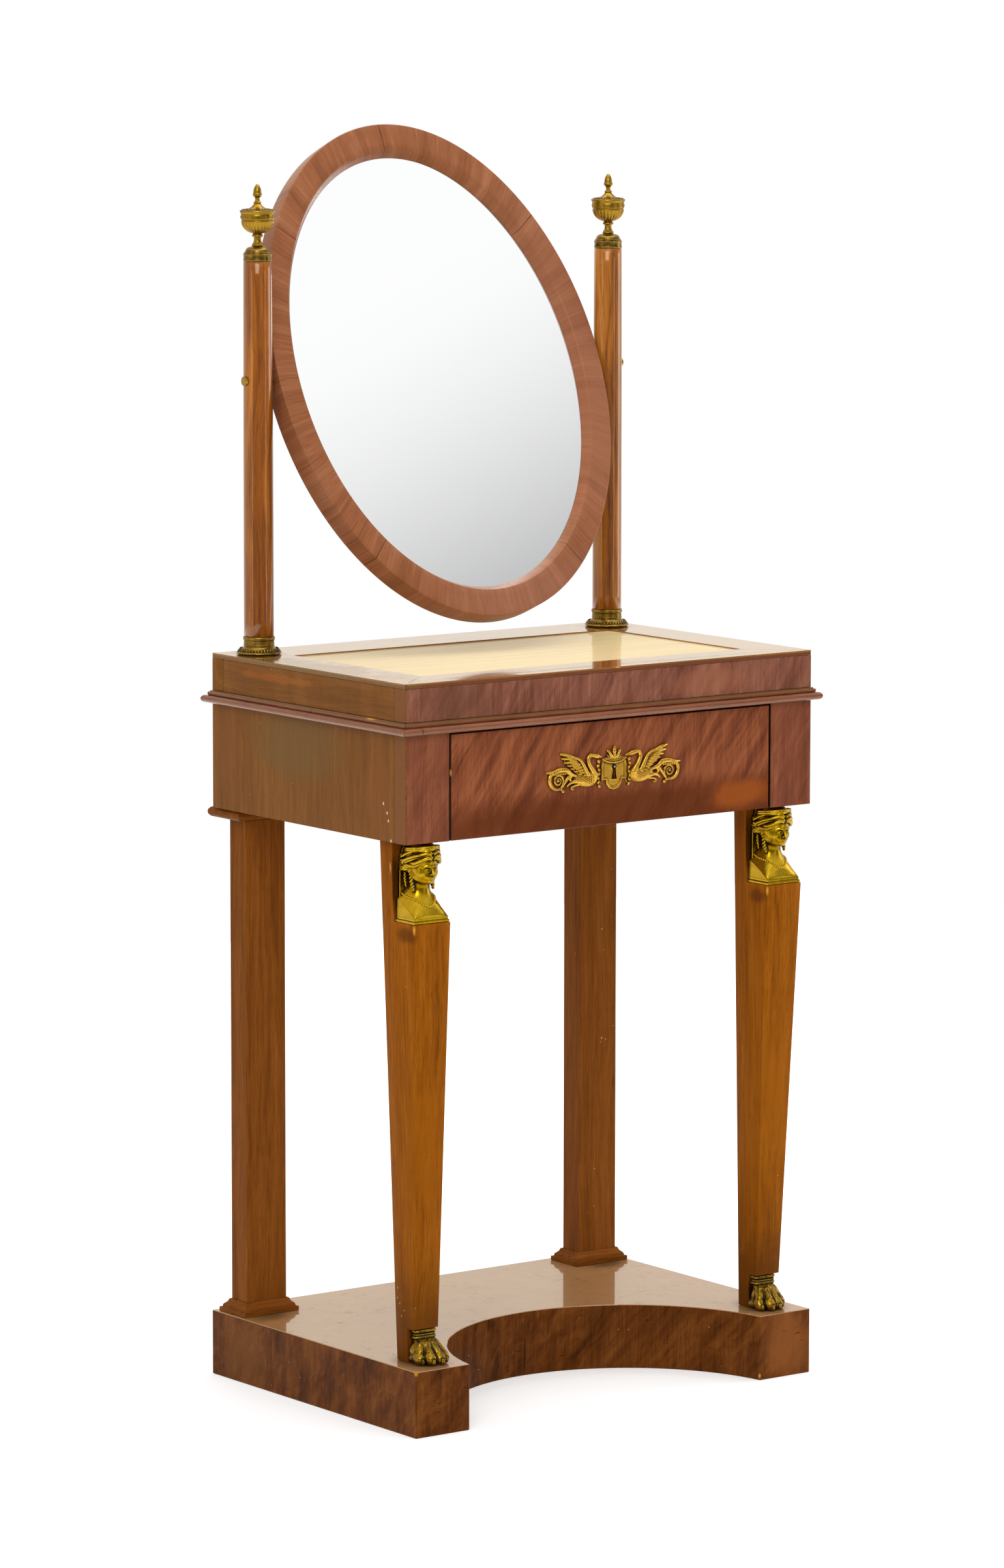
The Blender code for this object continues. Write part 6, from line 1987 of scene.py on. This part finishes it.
@dataclass
class Paw:
    """A gilt lion's paw with four toes under a collar of three rings."""

    place: Place = (0.22623, -0.1456, 0.0701)  # middle of the right one's flat back, on the plinth
    height: float = 35.4  # in millimetres, as are the rest
    collar: float = 13.65  # half the collar's width
    collar_depth: float = 10.6
    collar_shift: float = -1.0
    collar_round: float = 4.5
    toe_shift: float = 2.0
    toes: tuple[Place, ...] = ((-14.4, 25.0, 5.5), (-5.2, 31.5, 6.2), (5.2, 30.0, 6.5), (14.0, 23.0, 6.4))
    cell: float = 0.40

    def build(self) -> None:
        """Model the paw once and set it, mirrored, on both sides."""
        clay = Clay((-25, -1, -1), (23, 35, self.height + 1), self.cell)
        clay.ball((0, 7, 13), (16.0, 12.5, 13.0), 2.0)
        clay.ball((-1.5, 6, 5), (17.5, 14, 7.5), 2.5)
        for across, ahead, size in self.toes:
            self.model_toe(clay, across - self.toe_shift, ahead, size)
        self.model_collar(clay)
        clay.trim(0.0, 0.0, self.height)
        for name, side in SIDES.items():
            mesh = clay.skin("paw", (side * self.place[0], self.place[1], self.place[2]), side)
            finish = PAW_BRONZE.build(f"gilt_paw_{name}")
            add_piece(f"gilt_paw_{name}", mesh, finish, "root", "gilt_bronze", f"paw_{name}")

    def model_toe(self, clay: Clay, x: float, ahead: float, size: float) -> None:
        """One toe with its knuckles and its claw.

        Args:
            clay: The clay.
            x: The toe's place across.
            ahead: How far forwards it reaches.
            size: Its radius.
        """
        upper = [(0.5 * x, 5, 25), (0.66 * x, 0.42 * ahead, 20.0), (0.86 * x, 0.66 * ahead, 13)]
        clay.limb(upper, (3.6, 4.6, 4.4), 1.8, steps=9)
        lower = [(0.86 * x, 0.62 * ahead, 12), (x, ahead - size - 2, 8.0), (x, ahead - size, size - 0.4)]
        clay.limb(lower, (4.2, size, size), 1.2, steps=9)
        clay.ball((0.66 * x, 0.44 * ahead + 1.8, 20.6), (3.4, 2.8, 2.6), 1.6)
        clay.ball((x, ahead + 0.2, 4.4), (2.9, 1.9, 4.0), 0.6, cut=True)
        clay.ball((x, ahead - 1.3, 4.0), (2.4, 2.6, 3.6), 0.3)

    def model_collar(self, clay: Clay) -> None:
        """The ankle and the three rings round it.

        Args:
            clay: The clay.
        """
        soft = self.collar_round
        part, (x, y, z) = clay.window((-18, 0, 16), (18, 12, self.height))
        side, ahead = np.abs(x - self.collar_shift) - self.collar + soft, y - self.collar_depth + soft
        corner = np.hypot(np.maximum(side, 0), np.maximum(ahead, 0))
        plan = corner + np.minimum(np.maximum(side, ahead), 0) - soft
        clay.merge(part, np.maximum(plan + 1.9, np.abs(z - 26) - 8.5), 2.2)
        for level, thick in ((27.2, 1.65), (30.1, 1.2), (33.5, 1.85)):
            clay.merge(part, np.hypot(np.maximum(plan + 1.5, 0), z - level) - thick, 0.15)


@dataclass
class KeyholeMount:
    """The gilt mount round the keyhole: a draped shield between two swans with scrolling leaves."""

    stock: Stock
    place: Place = (0.0, -0.1755, 0.6770)  # the keyhole's middle on the drawer's face
    cell: float = 0.30  # in millimetres

    def build(self) -> None:
        """Model the shield and one swan, and set the swan on both sides."""
        finish = MOUNT_BRONZE.build("keyhole_shield")
        add_piece("keyhole_shield", self.shield(), finish, "drawer", "gilt_bronze", "escutcheon")
        clay = Clay((14, -0.6, -24), (90, 7.5, 22), self.cell)
        self.model_swan(clay)
        self.model_wing(clay)
        self.model_scroll(clay)
        clay.trim()
        for name, side in SIDES.items():
            mesh = joined_mesh("swan", [clay.skin("swan", self.place, side), self.feathers(side)])
            finish = MOUNT_BRONZE.build(f"keyhole_swan_{name}")
            add_piece(f"keyhole_swan_{name}", mesh, finish, "drawer", "gilt_bronze")

    def shield(self) -> bpy.types.Mesh:
        """The shield with its rim, drapery, crest, side drops and keyhole.

        Returns:
            The mesh.
        """
        half = [
            (5.5, 6.5), (9.5, 8.6), (15, 8.6), (16.9, 1), (16.7, -13.5), (10.8, -13.6), (9.8, -18), (6, -22.8),
            (0, -24.4),
        ]
        outline = half + [(-x, z) for x, z in half[-2::-1]]
        clay = Clay((-25, -0.6, -27), (25, 6.5, 25), self.cell)
        clay.slab(outline, 1.7, 0.5, 0.0)
        rim = [(x * 0.93, 1.5, z * 0.93 if z > -14 else z + 1.4) for x, z in outline]
        clay.limb([*rim, rim[0]], 0.8, 0.3)
        inner = [(x * 0.78, 1.75, z * 0.78 + (0 if z > -14 else -0.8)) for x, z in outline[2:-2]]
        clay.limb(inner, 0.35, 0.3, cut=True)
        for reach, top, sag, radius in ((15.2, 8.6, 4.6, 1.05), (13.0, 9.2, 6.6, 0.85), (10.5, 9.6, 8.2, 0.8)):
            swag = [(reach * x, y, z) for x, y, z in (
                (-1, 2.0, top), (-0.55, 2.6, sag + 0.9), (0, 2.8, sag), (0.55, 2.6, sag + 0.9), (1, 2.0, top),
            )]
            clay.limb(swag, radius, 0.25, steps=15)
        for level, radius in ((10.4, 2.3), (13.2, 1.9), (15.6, 2.3), (18.6, 1.9), (21.0, 1.2)):
            clay.ball((0, 1.6, level), (radius * 1.25, 2.3, radius * 1.05), 0.35)
        for _ in clay.both_sides():
            leaf = [(1.4, 1.5, 10), (4.6, 2.0, 12.0), (6.4, 2.0, 15.3), (8.6, 1.2, 17.2)]
            clay.limb(leaf, (1.7, 2.0, 1.6, 0.9), 0.3, steps=10)
            clay.limb([(1.4, 1.5, 9.6), (4.6, 1.9, 9.3), (8.8, 1.6, 12.2)], (1.6, 1.7, 0.9), 0.3, steps=8)
            for k in range(7):
                spot = (20.0 + 0.8 * math.sin(1.9 * k), 1.0, 6.5 - 4.3 * k)
                clay.ball(spot, (2.0 - 0.09 * k, 1.9, 2.5), 0.4, lean=0.7 if k % 2 else -0.5)
            cord = [(15.5, 0.6, 7.5), (20.4, 0.7, 7.5), (20, 0.7, -8), (19.8, 0.6, -20), (14, 0.6, -12)]
            clay.limb(cord, 0.75, 0.4)
        x, y, z = clay.everywhere()
        slot = clay.outline_distance([(-1.7, -2), (1.7, -2), (3.3, -13), (-3.3, -13)], x, z)
        hole = np.minimum(np.hypot(x, z) - 3.1, slot)
        clay.merge((slice(None),) * 3, np.abs(hole) - 0.75 + np.maximum(y - 2.1, 0) * 2, 0.3)
        clay.field = np.maximum(clay.field, -hole)
        clay.trim()
        return clay.skin("keyhole_shield", self.place)

    def model_swan(self, clay: Clay) -> None:
        """The swan's body, neck, head and tail.

        Args:
            clay: The clay.
        """
        clay.ball((37.0, 0.0, -10.8), (15.8, 4.6, 8.2), 0.5, lean=math.radians(8))
        clay.ball((28.3, 0.2, -8.6), (7.6, 4.5, 7.4), 2.0)
        neck = [
            (25.4, 1.6, -7.0), (28.6, 1.9, -2.4), (32.6, 1.9, 3.6), (34.2, 1.9, 9.6), (31.6, 1.9, 13.8),
            (27.4, 2.0, 13.7), (24.0, 2.0, 12.9),
        ]
        clay.limb(neck, (3.8, 3.2, 2.6, 2.3, 2.2, 2.4, 2.7), 0.8, steps=22)
        clay.ball((22.6, 2.0, 12.6), (3.6, 2.4, 2.6), 0.5, lean=math.radians(10))
        clay.limb([(20.5, 2.0, 12.2), (17.5, 1.6, 11.6), (15.4, 1.2, 11.1)], (1.7, 1.3, 0.8), 0.4)
        clay.limb([(19.8, 3.6, 12.3), (15.6, 2.3, 11.2)], 0.25, 0.2, cut=True)
        clay.ball((23.2, 3.9, 13.3), 0.5, 0.1)
        tail = [(45, 1.5, -12.5), (51.5, 1.8, -11.8), (57.0, 1.5, -13.2), (60.8, 1.2, -16.2)]
        clay.limb(tail, (3.0, 2.2, 1.5, 0.8), 0.8, steps=12)
        under = [(46, 1.2, -15), (52, 1.4, -16.2), (55.5, 1.2, -18.6), (53.5, 1.2, -20.3), (52.2, 1.2, -18.9)]
        clay.limb(under, (2.0, 1.4, 1.0, 0.8, 0.7), 0.5, steps=14)

    def model_wing(self, clay: Clay) -> None:
        """The raised wing with its long feathers.

        Args:
            clay: The clay.
        """
        arm = [
            (35, 1.8, -6), (40.0, 2.2, 3.0), (44.5, 2.2, 9.4), (52, 2.0, 13.2), (60, 1.8, 14.6),
            (66.5, 1.6, 18.2),
        ]
        clay.limb(arm, (3.4, 2.5, 1.9, 1.6, 1.4, 1.1), 0.6, steps=20)
        tips = ((69.5, 18.0), (67.5, 13.2), (64.2, 8.6), (60.2, 4.9), (55.6, 1.4), (50.8, -2.0), (46.2, -5.4))
        for k, (x, z) in enumerate(tips):
            share = k / (len(tips) - 1)
            start = (54 - 16 * share, 1.6, 13.0 - 16 * share)
            middle = ((start[0] + x) / 2 + 0.6, 2.3, (start[2] + z) / 2 + 0.9)
            clay.limb([start, middle, (x, 1.3, z)], (2.2, 2.1, 1.3), 0.12, steps=8)
        web = [(34, -7), (39, 4), (45, 11), (55, 14.6), (66, 18), (67.5, 14), (63.5, 8.5), (55, 1), (45, -7)]
        clay.slab(web, 1.9, 0.4, 0.4)

    def model_scroll(self, clay: Clay) -> None:
        """The leaf behind the tail with its ribbed volute.

        Args:
            clay: The clay.
        """
        rib = [
            (50, 1.3, -6.0), (57, 1.8, -3.6), (62.5, 2.0, 0.6), (70.5, 2.0, 1.4), (79, 1.7, -0.6),
            (87.6, 1.1, -0.6),
        ]
        clay.limb(rib, (1.8, 2.5, 3.0, 3.1, 2.5, 0.8), 0.5, steps=20)
        for k in range(8):
            x, drop = 2.9 * k, 0.15 * k
            clay.ball((61.5 + x, 1.7, -1.9 - 0.1 * k), (1.7, 1.9, 2.1), 0.15, lean=0.5)
            clay.limb([(60.5 + x, 4.4, 2.2 - drop), (62.2 + x, 3.6, -1.5 - drop)], 0.28, 0.3, cut=True)
        outer = [
            (80.5, 1.4, -1.5), (83.6, 1.6, -5), (83.9, 1.6, -10), (81.2, 1.6, -15.4), (76, 1.5, -18.2),
            (70, 1.3, -18.4), (66.4, 1.2, -21.3),
        ]
        clay.limb(outer, (1.9, 2.2, 2.1, 2.1, 1.9, 1.5, 1.2), 0.4, steps=26)
        for x, y, z in curve_through(outer, 15)[2:13]:
            clay.ball((x, y + 0.9, z), (1.5, 1.5, 1.5), 0.15)
        clay.ball((66.4, 1.2, -21.0), (1.9, 1.8, 1.9), 0.3)
        coil = []
        steps = 34
        for share in (k / (steps - 1) for k in range(steps)):
            angle = math.radians(200 - 620 * share)
            reach = 6.6 - 5.4 * share
            coil.append((72.6 + reach * math.cos(angle), 1.3 + 0.5 * share, -9.6 + reach * math.sin(angle)))
        clay.limb(coil, np.linspace(1.55, 0.8, steps), 0.2)
        clay.ball((72.6, 1.6, -9.6), (1.5, 1.8, 1.5), 0.2)
        stem = [(57, 1.4, -4.5), (60.5, 1.5, -7.5), (64.5, 1.5, -12), (69, 1.3, -17.6)]
        clay.limb(stem, (2.1, 2.0, 1.7, 1.4), 0.5, steps=12)
        clay.limb([(55, 1.6, -4.4), (58, 1.8, -8.4), (56.5, 1.6, -10.6)], (2.1, 1.7, 1.2), 0.4, steps=8)

    def feathers(self, side: int) -> bpy.types.Mesh:
        """Scale feathers on the breast, the back and the wing's root.

        Args:
            side: -1 for the left swan, 1 for the right one.

        Returns:
            The mesh.
        """
        spots = []
        for row in range(10):
            for k in range(5):
                across = -0.80 + 0.165 * row
                up = -0.66 + 0.33 * k + (0.16 if row % 2 else 0.0)
                if across * across + up * up > 0.86 or (across > -0.35 and up > 0.45):
                    continue
                ahead = 4.5 * math.sqrt(1 - across * across - up * up)
                place = (36.0 + 16.0 * across, ahead - 0.25, -10.4 + 7.9 * up + 1.4 * across)
                out = Vector((side * across * 0.5, -1.2, up * 0.5)).normalized()
                way = Vector((side * 1.0, -0.10 + 0.5 * across, 0.25 - 0.35 * up)).normalized()
                spots.append(Spot(to_world(self.place, place, side), way, out, (0.0034, 0.0008, 0.0040)))
        for row in range(5):
            for k in range(5 + row):
                share = (k + 0.5 * (row % 2)) / (4.5 + row)
                x, z = 37.0 + 3.3 * row + 9.5 * share, -5.0 + 2.2 * row + 11.0 * share
                place = to_world(self.place, (x, 3.9 - 0.12 * row, z), side)
                way = Vector((side * 1.0, -0.05, 0.35 + 0.30 * share - 0.6 * (1 - share))).normalized()
                spots.append(Spot(place, way, Vector((0, -1, 0)), (0.0036, 0.0010, 0.0052)))
        return self.stock.lay(leaf_mesh(), spots)


# Studio


def rays(graph: Graph, *kinds: str) -> tuple[Shade, ...]:
    """Whether a ray is of each of these kinds."""
    outputs = graph.node("ShaderNodeLightPath").socket.node.outputs
    return tuple(Shade(graph, outputs[f"Is {kind} Ray"]) for kind in kinds)


@dataclass
class Studio:
    """Camera, light, world and floor."""

    eye: Place = (-4.0553, -5.4580, 1.5606)
    yaw: float = -0.6374  # from north, to the left
    pitch: float = 0.1347  # downwards
    roll: float = -0.0013
    lens: float = 148.26
    floor_reach: float = 2.6
    ambient: float = 0.62
    backdrop: Colour = (0.97, 0.89, 0.77)

    def build(self) -> None:
        """Make the whole studio."""
        bpy.context.scene.view_settings.view_transform = "Standard"
        self.add_camera()
        self.add_world()
        self.add_floor()
        for name, place, target, size, watts in (
            ("key_lamp", (-2.2, -2.4, 2.6), (0.0, -0.1, 0.6), (1.8, 1.8), 52.0),
            ("top_lamp", (0.3, 0.2, 3.2), (0.0, 0.0, 0.6), (2.4, 2.4), 46.0),
            ("side_lamp", (2.9, -0.9, 1.1), (0.0, 0.0, 0.7), (1.2, 2.0), 20.0),
            ("left_strip", (-2.995, -0.178, 1.0), (0.0, 0.0, 0.9), (0.3, 2.0), 5.0),
            ("right_strip", (1.19, -2.75, 1.0), (0.0, 0.0, 0.9), (0.3, 2.0), 5.0),
        ):
            self.add_lamp(name, place, target, size, watts)
        LOG.info("studio ready")

    def add_camera(self) -> None:
        """Put the camera where the photograph was taken from."""
        data = bpy.data.cameras.new("camera")
        data.sensor_fit = "VERTICAL"
        data.sensor_height = 36.0
        data.lens = self.lens
        data.clip_end = 60.0
        camera = bpy.data.objects.new("camera", data)
        camera.location = self.eye
        turn = Matrix.Rotation(self.yaw, 4, "Z") @ Matrix.Rotation(math.pi / 2 - self.pitch, 4, "X")
        camera.rotation_euler = (turn @ Matrix.Rotation(-self.roll, 4, "Z")).to_euler()
        bpy.context.scene.collection.objects.link(camera)
        bpy.context.scene.camera = camera

    def add_world(self) -> None:
        """A white world to the eye. Gloss sees it warm behind the table and dim low down before it."""
        world = bpy.data.worlds.new("studio")
        world.use_nodes = True
        world.node_tree.nodes.clear()
        graph = Graph(world.node_tree)
        _, y, z = graph.split(graph.node("ShaderNodeTexCoord", output="Generated"))
        rise, front = graph.ease(z, 0.4706, 0.54, 0.34), graph.ease(y, -0.15, 0.10)
        camera, glossy, through = rays(graph, "Camera", "Glossy", "Transmission")
        gloss = graph.maths("MAXIMUM", glossy, through)
        seen = graph.maths("MAXIMUM", rise, front)
        level = graph.node("ShaderNodeMix", None, {0: gloss, 2: self.ambient, 3: seen})
        colour = graph.mix((1.0, 1.0, 1.0), self.backdrop, front * gloss)
        sockets = {"Color": colour, "Strength": graph.maths("MAXIMUM", level, camera)}
        shader = graph.node("ShaderNodeBackground", None, sockets)
        graph.tree.links.new(shader.socket, graph.tree.nodes.new("ShaderNodeOutputWorld").inputs[0])
        bpy.context.scene.world = world

    def add_floor(self) -> None:
        """A pale floor that is white to the eye and keeps the table's shadow."""
        shape = bmesh.new()
        bmesh.ops.create_grid(shape, x_segments=1, y_segments=1, size=self.floor_reach)
        mesh = to_mesh("floor", shape, outwards=False)
        graph = Finish("floor_finish")
        camera, glossy = rays(graph, "Camera", "Glossy")
        base = graph.node("ShaderNodeBsdfDiffuse", None, {"Color": (0.80, 0.80, 0.80)})
        x, y, _ = graph.split(graph.place())
        far = graph.ease(graph.maths("SQRT", x * x + y * y), 0.45, 1.1) * 0.5
        strength = graph.clamp(camera + glossy) * (far + 0.34)
        glow = graph.node("ShaderNodeEmission", None, {"Color": (1.0, 1.0, 1.0), "Strength": strength})
        total = graph.node("ShaderNodeAddShader", None, {0: base, 1: glow})
        graph.tree.links.new(total.socket, graph.end.inputs["Surface"])
        mesh.materials.append(graph.material)
        floor = bpy.data.objects.new("floor", mesh)
        bpy.context.scene.collection.objects.link(floor)

    def add_lamp(self, name: str, place: Place, target: Place, size: tuple[float, float], watts: float) -> None:
        """Hang a soft rectangular lamp.

        Args:
            name: Its name.
            place: Where it hangs.
            target: Where it points.
            size: Its width and height.
            watts: Its power.
        """
        data = bpy.data.lights.new(name, "AREA")
        data.shape = "RECTANGLE"
        data.size, data.size_y = size
        data.energy = watts
        lamp = bpy.data.objects.new(name, data)
        lamp.location = place
        lamp.rotation_euler = (Vector(target) - Vector(place)).to_track_quat("-Z", "Y").to_euler()
        bpy.context.scene.collection.objects.link(lamp)


def main() -> None:
    """Build the dressed table in order."""
    logging.basicConfig(level=logging.INFO, format="%(message)s")
    Carcass().build()
    Drawer().build()
    Base().build()
    stock = Stock()
    for side in SIDES.values():
        Column(side, stock).build()
        FrontLeg(side).build()
    Mirror().build()
    Bust(stock).build()
    Paw().build()
    KeyholeMount(stock).build()
    Studio().build()


if __name__ == "__main__":
    main()
